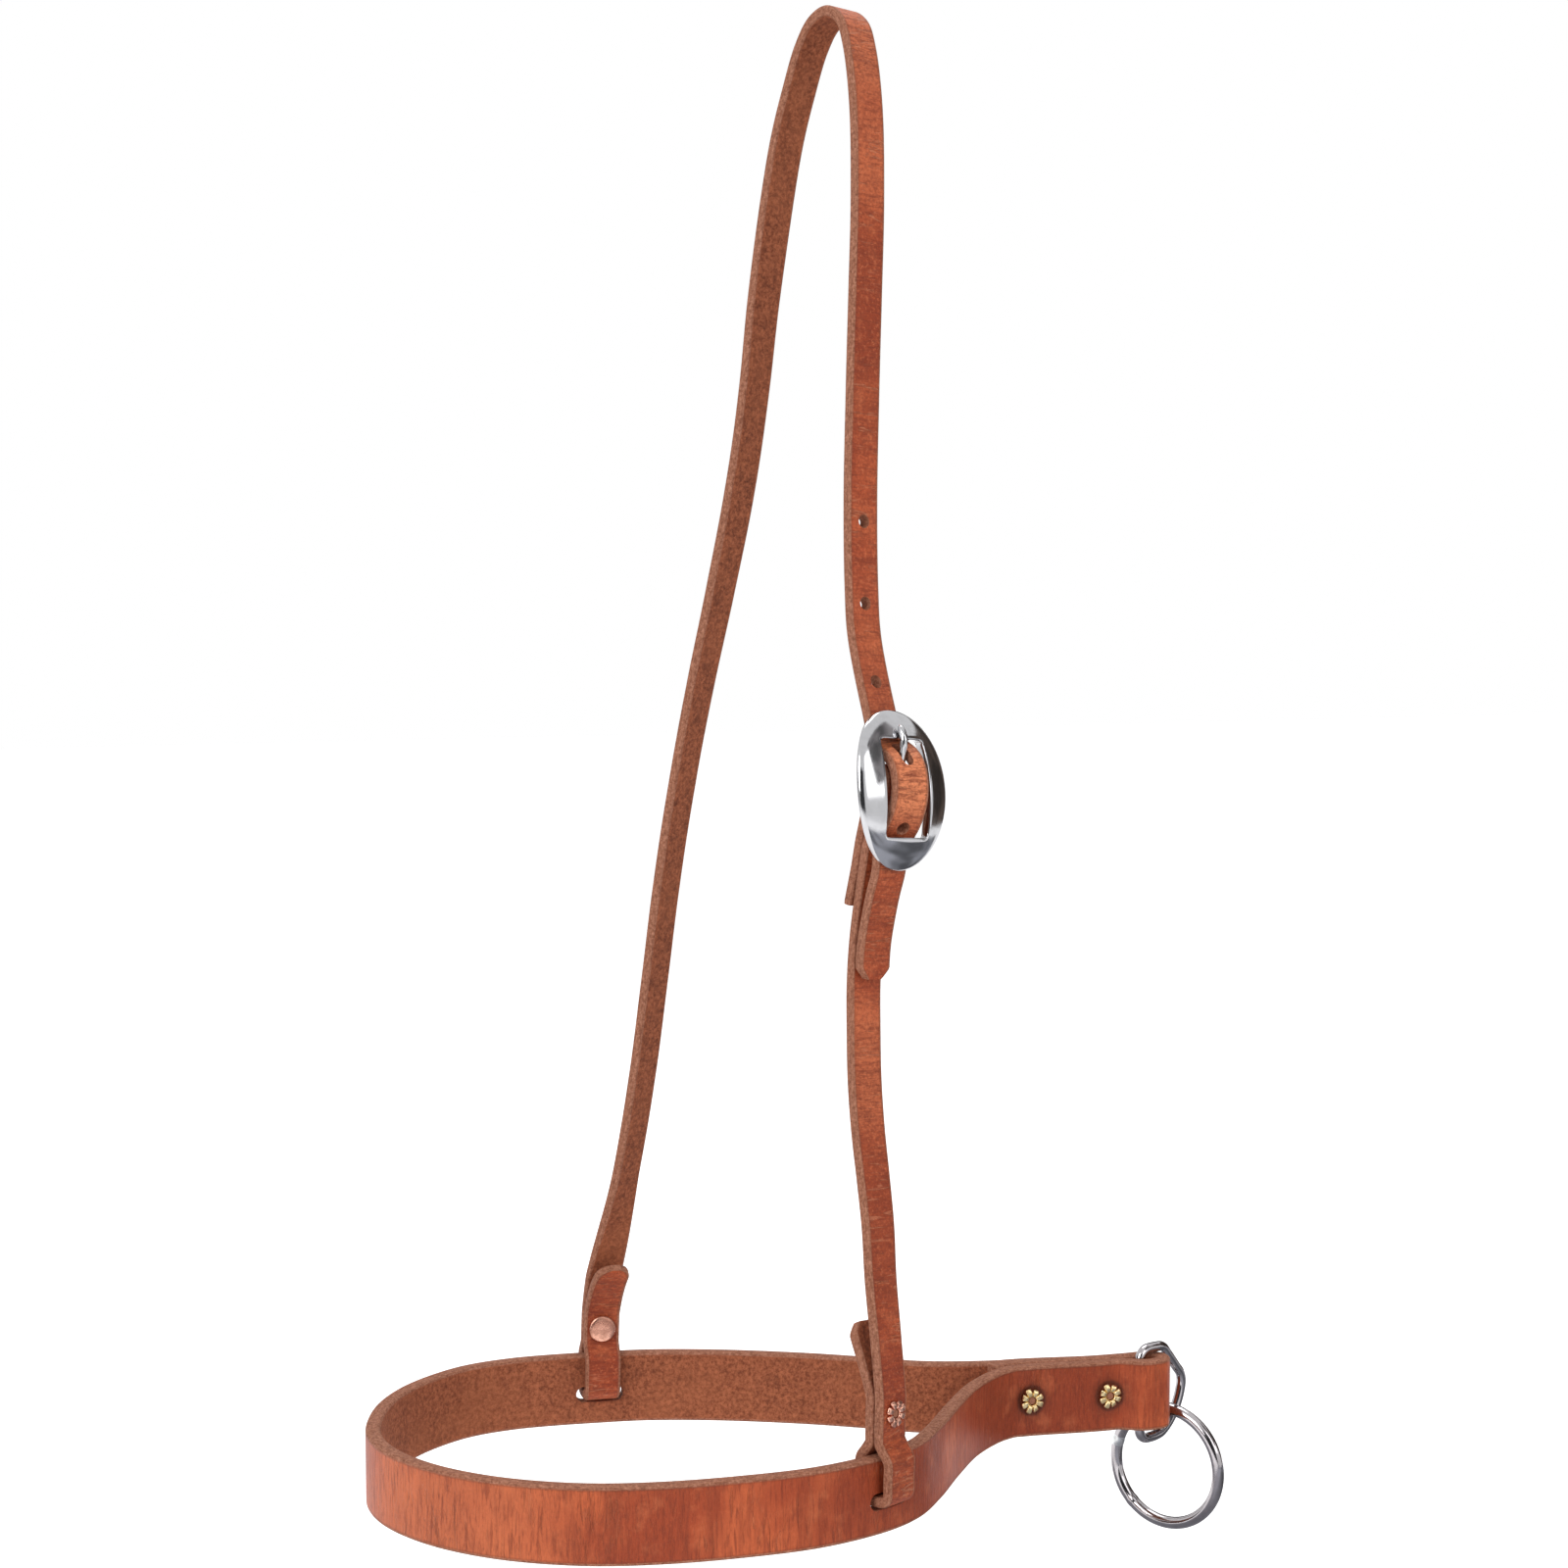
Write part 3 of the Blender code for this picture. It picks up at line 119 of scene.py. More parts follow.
FLOWER_WIDE, CHAPE_FLOWER, PETAL_RISE = 8.8 * MM, 7.6 * MM, 1.3 * MM
DEE_WIRE, DEE_HIGH, DEE_DEPTH, DEE_CORNER = 3.7 * MM, 29.2 * MM, 22 * MM, 4.2 * MM
DEE_SAG, DEE_SETBACK, DEE_ANGLE = 1.4 * MM, 3.9 * MM, math.radians(20)
RING_WIRE, RING_WIDE = 4.4 * MM, 46.7 * MM
RING_ANGLE, RING_TURN, RING_CROSSING = math.radians(-57), math.radians(92), (0.63, -0.441)

# %% [markdown]
# ## Routes
#
# A strap is one ribbon, so its whole shape is the line that it follows. A centripetal
# Catmull-Rom curve passes through every knot without overshooting at tight bends, which is
# why it suits leather that lies flat, folds and lies flat again.

# %% Curves through knots
def curve_through(knots, step):
    """Curve through knots, every span at once, then read at even steps along its length."""
    knots = np.asarray(knots, float)
    knots = np.vstack([2 * knots[0] - knots[1], knots, 2 * knots[-1] - knots[-2]])
    a, b, c, d = (knots[i:len(knots) - 3 + i, None] for i in range(4))
    tb = np.sqrt(np.linalg.norm(b - a, axis=2, keepdims=True))
    tc = tb + np.sqrt(np.linalg.norm(c - b, axis=2, keepdims=True))
    td = tc + np.sqrt(np.linalg.norm(d - c, axis=2, keepdims=True))
    t = tb + (tc - tb) * np.linspace(0, 1, 33)[None, 1:, None]
    ab, bc, cd = ((tb - t) * a + t * b) / tb, ((tc - t) * b + (t - tb) * c) / (tc - tb), \
        ((td - t) * c + (t - tc) * d) / (td - tc)
    abc, bcd = ((tc - t) * ab + t * bc) / tc, ((td - t) * bc + (t - tb) * cd) / (td - tb)
    fine = (((tc - t) * abc + (t - tb) * bcd) / (tc - tb)).reshape(-1, knots.shape[1])
    fine = np.vstack([knots[1], fine])
    return even(fine, step)


def even(points, step):
    """The same line with its points a step apart."""
    runs = stations(points)
    places = np.linspace(0, runs[-1], max(2, round(runs[-1] / step) + 1))
    return np.stack([np.interp(places, runs, column) for column in points.T], axis=1)


def stations(points):
    """Distance along a line of each of its points."""
    steps = np.linalg.norm(np.diff(points, axis=0), axis=1)
    return np.concatenate([[0], np.cumsum(steps)])


def arc(centre, radius, start, end, count):
    """Points on an arc, with angles in degrees."""
    turn = np.radians(np.linspace(start, end, count))
    return [(centre[0] + radius * x, centre[1] + radius * y)
            for x, y in zip(np.cos(turn), np.sin(turn))]


def circle(count):
    """Angles of so many even steps, once round."""
    return np.linspace(0, 2 * math.pi, count + 1)[:-1]


def eased(value, rows):
    """Table read with a smooth step from one row to the next."""
    value = np.asarray(value, float)
    found = np.full(value.shape, rows[0][1], float)
    for (low, before), (high, after) in zip(rows, rows[1:]):
        share = np.clip((value - low) / (high - low), 0, 1)
        found = np.where(value > low, before + (after - before) * share ** 2 * (3 - 2 * share),
                         found)
    return found


# %% [markdown]
# The nose loop is drawn in plan as shares of its length and width, which were measured on the
# photograph through the camera above. It walks from the far layer's end, round the front and
# back to the tail. There it folds round the dee's bar and comes back between the outer layers.

# %% Route of the nose strap
FAR_SIDE = ((0.879, 0.173), (0.812, 0.235), (0.721, 0.318), (0.613, 0.401), (0.498, 0.462),
            (0.423, 0.482), (0.350, 0.495), (0.287, 0.496), (0.215, 0.474), (0.154, 0.424),
            (0.100, 0.356), (0.053, 0.262), (0.021, 0.157), (0.002, 0.052))
NEAR_SIDE = ((0.002, -0.052), (0.021, -0.155), (0.060, -0.262), (0.123, -0.362),
             (0.216, -0.444), (0.318, -0.487), (0.423, -0.504), (0.537, -0.499),
             (0.647, -0.452), (0.708, -0.395), (0.764, -0.303), (0.836, -0.163),
             (0.902, -0.046), (0.956, 0.023), (0.978, 0.043))
LAYER = NOSE_THICK + SEAM
TAIL_X = LOOP_FRONT + LOOP_LENGTH
SWELL_X = TAIL_X + TAIL_RUN
FOLD_RADIUS = DEE_WIRE / 2 + 2 * GAP + NOSE_THICK / 2
FOLD_X = SWELL_X + SWELL + POCKET
FOLD_Y = TAIL_LINE + LAYER / 2 - FOLD_SHIFT
FAR_END_X = SWELL_X + FAR_SETBACK
TIP_STEP = TURN_BACK / 5


def nose_knots():
    near, middle, far = TAIL_LINE, TAIL_LINE + LAYER, TAIL_LINE + 2 * LAYER
    early, late = TAIL_X + NOSE_THICK / 2, SWELL_X - NOSE_THICK / 2
    knots = [(FAR_END_X, far), (SWELL_X, far), (early, far), (TAIL_X, far)]
    knots += [(LOOP_FRONT + x * LOOP_LENGTH, y * LOOP_WIDTH) for x, y in FAR_SIDE + NEAR_SIDE]
    knots += [(TAIL_X, near), (early, near), (late, near), (SWELL_X, near)]
    knots += [(SWELL_X + SWELL, FOLD_Y - FOLD_RADIUS)]
    knots += arc((FOLD_X, FOLD_Y), FOLD_RADIUS, -90, 90, 9)
    knots += [(SWELL_X + SWELL, FOLD_Y + FOLD_RADIUS), (SWELL_X, middle), (late, middle)]
    knots += [(early, middle), (TAIL_X, middle), (TAIL_X - TURN_BACK, middle - TIP_STEP)]
    return knots


NOSE_ROUTE = curve_through(nose_knots(), 1 * MM)
NOSE_RUN = stations(NOSE_ROUTE)
print("nose strap cut to %.0f mm" % (NOSE_RUN[-1] / MM))


# %% Where the slots lie, and the upright plane of the headstall through them
def slot_station(x, side):
    """Distance along the nose strap, place and heading in plan, where it passes x."""
    on_side = (NOSE_ROUTE[:, 1] * side > 0) & (NOSE_ROUTE[:, 0] < TAIL_X / 2)
    pick = int(np.argmin(np.where(on_side, abs(NOSE_ROUTE[:, 0] - x), np.inf)))
    ahead = NOSE_ROUTE[pick + 1] - NOSE_ROUTE[pick - 1]
    ahead = ahead * np.sign(ahead[0])
    return NOSE_RUN[pick], NOSE_ROUTE[pick], math.atan2(ahead[1], ahead[0])


NEAR_SLOT_RUN, NEAR_SLOT, NEAR_HEADING = slot_station(NEAR_SLOT_X, -1)
FAR_SLOT_RUN, FAR_SLOT, FAR_HEADING = slot_station(FAR_SLOT_X, 1)
MIDDLE = (NEAR_SLOT + FAR_SLOT) / 2
SPREAD = float(np.linalg.norm(NEAR_SLOT - FAR_SLOT)) / 2
SIDEWAYS = (NEAR_SLOT - FAR_SLOT) / (2 * SPREAD)
FORWARDS = np.array([-SIDEWAYS[1], SIDEWAYS[0]])
PLANE_HEADING = math.atan2(FORWARDS[1], FORWARDS[0])

# %% [markdown]
# The headstall hangs in one upright plane that leans a little towards the ears. Its knots are
# given in that plane, sideways and up, measured in the same way. Each leg is also twisted about
# its own length, since the strap passes its slot flat against the nose and turns to face the
# horse's cheek higher up.

# %% Legs and crown in the plane of the headstall
FAR_LEG = ((0.110, -0.972), (0.146, -0.908), (0.185, -0.850), (0.258, -0.771), (0.329, -0.720),
           (0.400, -0.674), (0.471, -0.605), (0.542, -0.516), (0.611, -0.411), (0.680, -0.319),
           (0.747, -0.262), (0.814, -0.230), (0.881, -0.179), (0.920, -0.135), (0.950, -0.080))
NEAR_UPPER = ((0.935, 0.374), (0.873, 0.421), (0.808, 0.447), (0.743, 0.468), (0.678, 0.494),
              (0.613, 0.539), (0.581, 0.576))
NEAR_LOWER = ((0.122, 0.990), (0.164, 0.930), (0.197, 0.893), (0.227, 0.845), (0.258, 0.793),
              (0.290, 0.753), (0.323, 0.727), (0.355, 0.708), (0.386, 0.709))
CROWN_BOW = ((-1.05, 0.80), (-0.60, 0.20), (0.0, 0.0), (0.58, 0.30), (0.95, 1.0))
CROWN_HALF, CROWN_DROP = 12.5 * MM, 12.5 * MM
FAR_TWIST = ((0.085, FAR_HEADING + SKEW - PLANE_HEADING), (0.195, math.radians(17)),
             (0.470, math.radians(17)), (0.710, math.radians(9)), (0.880, 0.0))
NEAR_TWIST = ((0.095, NEAR_HEADING + SKEW - PLANE_HEADING), (0.290, 0.0))


def leg(share):
    return (share[1] * SPREAD, share[0] * CROWN_UP)


def hang(side, height, across):
    """Place of headstall points: twisted about their leg, then leaned towards the ears."""
    side, height, across = np.broadcast_arrays(*(np.asarray(v, float)
                                                 for v in (side, height, across)))
    near = side > CROWN_SIDE
    far_rows, near_rows = ([(up * CROWN_UP, turn) for up, turn in rows]
                           for rows in (FAR_TWIST, NEAR_TWIST))
    twist = np.where(near, eased(height, near_rows), eased(height, far_rows))
    lines = [[(0.0, -SPREAD)] + [leg(s)[::-1] for s in FAR_LEG],
             [(0.0, SPREAD)] + [leg(s)[::-1] for s in NEAR_LOWER]]
    far_axis, near_axis = (np.interp(height, *np.array(line).T) for line in lines)
    axis = np.where(near, near_axis, far_axis)
    slope = CROWN_LEAN / (CROWN_UP - (LEAN_LOW + LEAN_HIGH) / 2)
    run = np.clip(height - LEAN_LOW, 0, LEAN_HIGH - LEAN_LOW)
    lean = slope * (run ** 2 / (2 * (LEAN_HIGH - LEAN_LOW)) + np.maximum(height - LEAN_HIGH, 0))
    fall = np.arctan(slope * run / (LEAN_HIGH - LEAN_LOW))
    x, y = side - axis, across * np.cos(fall)
    level = SIDEWAYS * x[..., None] + FORWARDS * y[..., None]
    turned = np.stack([np.cos(twist) * level[..., 0] - np.sin(twist) * level[..., 1],
                       np.sin(twist) * level[..., 0] + np.cos(twist) * level[..., 1]], -1)
    plan = MIDDLE + SIDEWAYS * axis[..., None] + FORWARDS * lean[..., None] + turned
    return np.concatenate([plan, (height - across * np.sin(fall))[..., None]], -1) - POLL


POLL = np.zeros(3)
POLL = hang(CROWN_SIDE, CROWN_UP - CHEEK_THICK / 2, 0)
print("poll above the loop's lower edge: %.1f mm" % (POLL[2] / MM))

# %% Places in the buckle, which stands tilted in the same plane
UPWARD = np.array([-math.sin(FRAME_TILT), math.cos(FRAME_TILT)])
OUTWARD = np.array([math.cos(FRAME_TILT), math.sin(FRAME_TILT)])
CHAPE_RADIUS = BAR_WIDE / 2 + GAP + CHEEK_THICK / 2
EYE_RADIUS = BAR_WIDE / 2 + GAP + TONGUE_WIDE / 2


def in_frame(up, out):
    return tuple(np.array([FRAME_SIDE, FRAME_UP]) + UPWARD * up + OUTWARD * out)


def bow_at(up):
    return FRAME_BOW * (1 - (2 * up / FRAME_LONG) ** 2)


def crest_at(up):
    return bow_at(up) + FRAME_DOME * np.sqrt(1 - (2 * up / FRAME_LONG) ** 2)


def behind_rim(up):
    return in_frame(up, bow_at(up) - CHEEK_THICK / 2 - RIM_PLAY)


BAR = np.array(in_frame(BAR_ABOVE, BAR_FORWARD))
CHAPE_UP = np.array([math.sin(CHAPE_SLOPE), math.cos(CHAPE_SLOPE)])
CHAPE_OUT = np.array([math.cos(CHAPE_SLOPE), -math.sin(CHAPE_SLOPE)])
CHAPE_RIVET = BAR - (CHAPE_INWARD, CHAPE_RIVET_DOWN)


def by_chape(up, out):
    return tuple(CHAPE_RIVET + CHAPE_UP * up + CHAPE_OUT * out)


# %% Routes of the two headstall straps
OVER_BAR = ((13.4, 1.9), (10.9, 5.4), (7.5, 8.0), (2.8, 9.2), (-2.2, 8.9), (-7.0, 7.1),
            (-11.2, 4.3), (-14.2, 1.2))


def hanger(sign, rivet_above, tail, splay):
    """A hanger goes down the inside, through the slot and back up the outside."""
    closed = (CHEEK_THICK + SEAM) / 2
    away = NOSE_THICK / 2 + PLAY + CHEEK_THICK / 2 + CHEEK_WIDTH / 2 * math.sin(SKEW)
    top, rivet = NOSE_WIDTH, NOSE_WIDTH + rivet_above
    flat, head, guard = top + LEG_FLAT, rivet + HEAD_WIDE / 2, CHEEK_THICK / 2
    inside = [(closed + splay, rivet + tail), (closed + splay / 3, rivet + tail / 2)]
    inside += [(closed, up) for up in (head, head - guard, flat + guard, flat)]
    inside += [((closed + away) / 2, top + LEG_FLAT / 3), (away, top - GAP * 4)]
    inside += [(away, (top + SLOT_UP) / 2)] + arc((away - BEND, SLOT_UP + BEND), BEND, 0, -90, 4)
    outside = [(-out, up) for out, up in reversed(inside)]
    return [(SPREAD * sign - out * sign, up) for out, up in inside + outside[:-2]]


def crown_knots():
    knots = hanger(-1, **FAR_HANGER) + [leg(share) for share in FAR_LEG]
    knots += [(CROWN_SIDE + s * CROWN_HALF, CROWN_UP - d * CROWN_DROP) for s, d in CROWN_BOW]
    knots += [leg(share) for share in NEAR_UPPER]
    half, end = WINDOW_LONG / 2, FRAME_LONG / 2
    knots += [behind_rim(up) for up in (end, (end + half) / 2, half)]
    knots += [in_frame(up * MM, out * MM) for up, out in OVER_BAR]
    knots += [behind_rim(-up) for up in (half, (end + half) / 2, end)]
    landed = NEAR_LOWER[-2][1] * SPREAD + CHEEK_THICK + GAP * 2
    side, up = behind_rim(-end)
    return knots + [((side + landed) / 2, up - FREE_END * FREE_BEND),
                    (landed, up - FREE_END * FREE_LAND), (landed, up - FREE_END)]


def cheek_knots():
    closed, reach, guard = (CHEEK_THICK + SEAM) / 2, CHAPE_FLOWER / 2, CHEEK_THICK / 2
    ups = (-reach, guard - reach, reach - guard, reach)
    knots = hanger(1, **NEAR_HANGER) + [leg(share) for share in NEAR_LOWER]
    knots += [by_chape(up, closed) for up in ups]
    knots += arc(BAR, CHAPE_RADIUS, -18, 190, 9)
    knots += [by_chape(up, -closed) for up in reversed(ups)]
    return knots + [by_chape(-CHAPE_TAIL, -closed - 2 * GAP)]


# %% [markdown]
# ## A strap as a surface
#
# Leather that has been cut, edged and rubbed has a section like a flat bar with four small
# rounds. The surface runs that section along the route: one parameter is the distance along
# the strap, the other the distance round the section. The same two numbers become its UV map,
# in millimetres, so grain, flesh and cut edge can be told apart by paint alone.

# %% Section and strap
def section(width, thick, edge, across_count):
    """Ring of (out, across) shares and the distance round it. Grain side first."""
    w, t = width / 2 - edge, thick / 2 - edge
    face = np.linspace(-w, w, across_count)
    round_off = np.radians(np.linspace(0, 90, 6)[1:-1])
    corner = edge * np.stack([np.cos(round_off), np.sin(round_off)], 1)
    flat_t = np.linspace(t, -t, 4)
    grain = np.stack([np.full(across_count, thick / 2), face], 1)
    first = np.stack([t + corner[:, 0], w + corner[:, 1]], 1)
    side = np.stack([flat_t, np.full(4, width / 2)], 1)
    second = np.stack([-t - corner[::-1, 0], w + corner[::-1, 1]], 1)
    half = np.concatenate([grain, first, side, second])
    ring = np.concatenate([half, -half])
    closed = np.vstack([ring, ring[:1]])
    return ring, stations(closed)


class Strap:
    """One ribbon: place(along, across, out) gives points in and beside it."""

    def __init__(self, name, knots, width, thick, grain_side, lay, step=1 * MM):
        self.name, self.width, self.thick, self.lay = name, width, thick, lay
        self.route = curve_through(knots, step)
        self.run = stations(self.route)
        self.length = self.run[-1]
        ahead = np.gradient(self.route, axis=0)
        ahead /= np.linalg.norm(ahead, axis=1, keepdims=True)
        self.out = grain_side * np.stack([ahead[:, 1], -ahead[:, 0]], 1)
        self.press, self.ends = [], [(None, None), (None, None)]
        self.roll = ((0.0, 0.0), (self.length, 0.0))

    def at(self, along, table):
        return np.stack([np.interp(along, self.run, column) for column in table.T], -1)

    def place(self, along, across, out):
        along, across, out = np.broadcast_arrays(along, across, out)
        roll = eased(along, self.roll)
        across, out = (across * np.cos(roll) - out * np.sin(roll),
                       out * np.cos(roll) + across * np.sin(roll))
        flat = self.at(along, self.route) + self.at(along, self.out) * out[..., None]
        return self.lay(flat[..., 0], flat[..., 1], across)

    def nearest(self, point):
        """Distance along the strap of its point nearest to one in its own plane."""
        return self.run[np.argmin(np.linalg.norm(self.route - np.asarray(point), axis=1))]

    def reach(self, along, side):
        """Half width on one side (-1 or 1), drawn in where an end is clipped or rounded."""
        half = np.full(along.shape, self.width / 2)
        for end, left in ((0, along), (1, self.length - along)):
            kind, size = self.ends[end]
            if kind == "clip" or (kind == "near clip" and side > 0):
                half -= np.clip(size - left, 0, size)
            if kind == "round":
                depth = np.clip(size - left, 0, size) / size
                half -= size * (1 - np.sqrt(1 - depth ** 2))
        return half

    def surface(self, edge, across_count):
        """The strap's skin, with edges rounded by this much and this many points across."""
        ring, around = section(self.width, self.thick, edge, across_count)
        out, share = ring[:, 0], ring[:, 1] / (self.width / 2)
        along = self.run[:, None]
        ends = np.minimum(along, self.length - along)
        soft = np.clip(ends / (0.6 * MM), 0, 1)
        thin = 1 - 0.18 * (1 - np.sqrt(1 - (1 - soft) ** 2))
        reach = np.where(share > 0, self.reach(along, 1), self.reach(along, -1))
        across = share * reach
        # A knife wanders by up to a tenth of a millimetre along an edge.
        wander = 0.10 * MM * np.sin(along / (17 * MM)) * np.sin(along / (41 * MM) + 1)
        height = out * thin
        for centre, middle, radius, depth, face in self.press:
            gap = np.hypot(along - centre, across - middle) / radius
            dent = depth * np.exp(-gap ** 4)
            height = np.where(np.sign(out) == face, height - face * dent, height)
        grid = self.place(along, across + wander * share ** 2, height)
        uv = np.stack(np.broadcast_arrays(along / MM, around[None] / MM), -1)
        mid_edge = (around[across_count + 5] + around[across_count + 6]) / 2 / MM
        return piece(self.name, grid, uv=uv, cap_uv=(0, mid_edge))

    def slot_cutter(self, along, across, long, wide, taper=0.0):
        """Slot with round ends through the strap, bent with it, narrower on the flesh side."""
        radius, straight = wide / 2, (long - wide) / 2
        turn = circle(32)
        x = straight * np.sign(np.round(np.cos(turn), 6)) + radius * np.cos(turn)
        y = radius * np.sin(turn)
        depth = np.linspace(-1, 1, 4)[:, None]
        share = 1 - taper * (1 - depth) / 2
        return self.place(along + x * share, across + y * share,
                          depth * (self.thick / 2 + 1.5 * MM))


# %% [markdown]
# Every surface goes through one function that joins a grid of points into faces. Caps close
# its ends, normals are made to point outwards, and the origin stays at the poll so that the
# piece can turn with the body it rides on.

# %% From a grid to an object
SHARP_FROM = 35


def piece(name, grid, uv=None, cap_uv=None, wrap_along=False, smooth=SHARP_FROM, link=True):
    """Object from a grid of points whose second direction closes on itself."""
    rows, cols = grid.shape[:2]
    index = np.arange(rows * cols).reshape(rows, cols)
    turned = np.roll(index, -1, axis=1)
    low, low_turned, high, high_turned = index[:-1], turned[:-1], index[1:], turned[1:]
    if wrap_along:
        low, low_turned = index, turned
        high, high_turned = np.roll(index, -1, axis=0), np.roll(turned, -1, axis=0)
    faces = np.stack([low, high, high_turned, low_turned], -1).reshape(-1, 4).tolist()
    if not wrap_along:
        faces += [index[0].tolist(), index[-1][::-1].tolist()]
    mesh = bpy.data.meshes.new(name)
    mesh.from_pydata(grid.reshape(-1, 3).tolist(), [], faces)
    if uv is not None:
        quads = np.stack([uv[:-1, :-1], uv[1:, :-1], uv[1:, 1:], uv[:-1, 1:]], -2).reshape(-1, 2)
        caps = np.tile(np.array(cap_uv, float), (len(mesh.loops) - len(quads), 1))
        mesh.uv_layers.new(name="strap").data.foreach_set("uv", np.vstack([quads, caps]).ravel())
    tidy(mesh)
    shade(mesh, smooth)
    return add(name, mesh) if link else bpy.data.objects.new(name, mesh)


def tidy(mesh):
    """Merge doubled points and turn every face outwards."""
    work = bmesh.new()
    work.from_mesh(mesh)
    bmesh.ops.remove_doubles(work, verts=work.verts, dist=1e-7)
    bmesh.ops.recalc_face_normals(work, faces=work.faces)
    work.to_mesh(mesh)
    work.free()


def shade(mesh, angle=SHARP_FROM):
    """Smooth shading, but for edges sharper than an angle in degrees."""
    mesh.shade_smooth()
    mesh.set_sharp_from_angle(angle=math.radians(angle))


def join(name, objects):
    """Several closed shells as one object."""
    work = bmesh.new()
    for source in objects:
        work.from_mesh(source.data)
        bpy.data.objects.remove(source)
    mesh = bpy.data.meshes.new(name)
    work.to_mesh(mesh)
    work.free()
    shade(mesh)
    return add(name, mesh)


def hand_over(made, body, node):
    """Say which body a piece rides and which node it replaces."""
    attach(made, body)
    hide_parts(node)


def punch(target, grids, wall_uv):
    """Cut closed grids out of a piece. The cut walls carry the paint of a cut edge."""
    shells = []
    for grid in grids:
        uv = np.broadcast_to(np.array(wall_uv, float), (grid.shape[0], grid.shape[1] + 1, 2))
        shells.append(piece("cutter", grid, uv=uv, cap_uv=wall_uv, link=False))
    tool = join("cutter", shells)
    change = target.modifiers.new("punch", "BOOLEAN")
    change.operation, change.solver, change.object = "DIFFERENCE", "EXACT", tool
    bpy.context.view_layer.update()
    graph = bpy.context.evaluated_depsgraph_get()
    mesh = bpy.data.meshes.new_from_object(target.evaluated_get(graph))
    target.modifiers.clear()
    target.data = mesh
    bpy.data.objects.remove(tool)
    shade(mesh)
    print(target.name, "has", len(mesh.polygons), "faces")


# %% [markdown]
# ## The nose strap
#
# An inch wide and five millimetres thick, it needs to sag at the tail as the photograph shows:
# the far layer lies a little lower than the two that carry the dee. Two slots let the cheek
# straps through, and the rivets pull their rounds into the grain.

# %% Lay the nose strap
def droop_at(x):
    """How far the tail sags below the level of the loop."""
    return eased(x, ((TAIL_X, 0.0), (SWELL_X, -TAIL_DROOP)))


def lay_nose(x, y, across):
    """The loop stands upright in plan, with the far layer dipping towards its end."""
    lift = TIP_STEP * (x < TAIL_X - GAP)
    far = y > TAIL_LINE + 1.5 * LAYER - lift
    dip = eased(x, ((TAIL_X - DROP_RUN, 0.0), (TAIL_X, -FAR_DROP)))
    dip = dip - (FAR_DIP - FAR_DROP) * np.clip((x - TAIL_X) / (FAR_END_X - TAIL_X), 0, 1)
    up = across + NOSE_WIDTH / 2 + np.where(far, dip, 0) + droop_at(x)
    return np.stack([x, y, up], -1) - POLL


nose = Strap("noseband_leather", nose_knots(), NOSE_WIDTH, NOSE_THICK, 1, lay_nose)
TAIL_RIVET_X = [TAIL_X + TAIL_RIVET_INSET + i * TAIL_RIVET_PITCH for i in (0, 1)]
TAIL_RIVET_ACROSS = TAIL_RIVET_UP - NOSE_WIDTH / 2
near_runs = [nose.nearest((x, TAIL_LINE)) for x in TAIL_RIVET_X]
nose.press = [(run, TAIL_RIVET_ACROSS, DENT_RADIUS, DENT_DEPTH, 1) for run in near_runs]
nose_piece = nose.surface(NOSE_EDGE, 25)
slots = [nose.slot_cutter(run, SLOT_UP - NOSE_WIDTH / 2, SLOT_LENGTH, CHEEK_THICK + 2 * PLAY)
         for run in (NEAR_SLOT_RUN, FAR_SLOT_RUN)]

# %% [markdown]
# ## The headstall straps
#
# The crown strap and the near cheek strap share the half-inch section. The crown strap's own
# holes are punched after it is bent, just over an inch apart. A used hole is wider where the
# punch went in, and the one that holds the tongue is drawn long by it.

# %% Lay the crown strap and the cheek strap
crown = Strap("crown_leather", crown_knots(), CHEEK_WIDTH, CHEEK_THICK, -1, hang)
cheek = Strap("cheek_leather", cheek_knots(), CHEEK_WIDTH, CHEEK_THICK, 1, hang)
crown.ends = [("round", TIP_ROUND), ("clip", END_CLIP)]
cheek.ends = [("clip", END_CLIP), ("near clip", END_CLIP)]
rims = [crown.nearest(behind_rim(up)) for up in (FRAME_LONG / 2, -FRAME_LONG / 2)]
crown.roll = ((rims[0], 0.0), (rims[0] + ROLL_IN, OVER_BAR_ROLL),
              (rims[1] - ROLL_OUT, OVER_BAR_ROLL), (rims[1], 0.0))
print("crown strap %.0f mm, cheek strap %.0f mm" % (crown.length / MM, cheek.length / MM))

# %% Tongue line, which finds its own hole in the crown strap
def tongue_line():
    """From the eye's end round the bar, then straight to the rim and over it."""
    bar = np.array([BAR_ABOVE, BAR_FORWARD])
    half = WINDOW_LONG / 2
    rest = np.array([half, crest_at(half) + TONGUE_WIDE / 2 + GAP])
    way = rest - bar
    far = float(np.linalg.norm(way))
    heading = math.atan2(way[1], way[0]) - math.asin(EYE_RADIUS / far)
    leaves = math.degrees(heading) + 90
    eye = arc(bar, EYE_RADIUS, leaves + 272, leaves, 15)
    start, ahead = np.array(eye[-1]), np.array([math.cos(heading), math.sin(heading)])
    length = float(np.linalg.norm(rest - start))
    shaft = [tuple(start + ahead * length * share) for share in (0.33, 0.66, 1.0)]
    past = half + TONGUE_PAST
    tip = (past, crest_at(past) + TONGUE_WIDE / 2 + GAP)
    return eye + shaft + [tip]


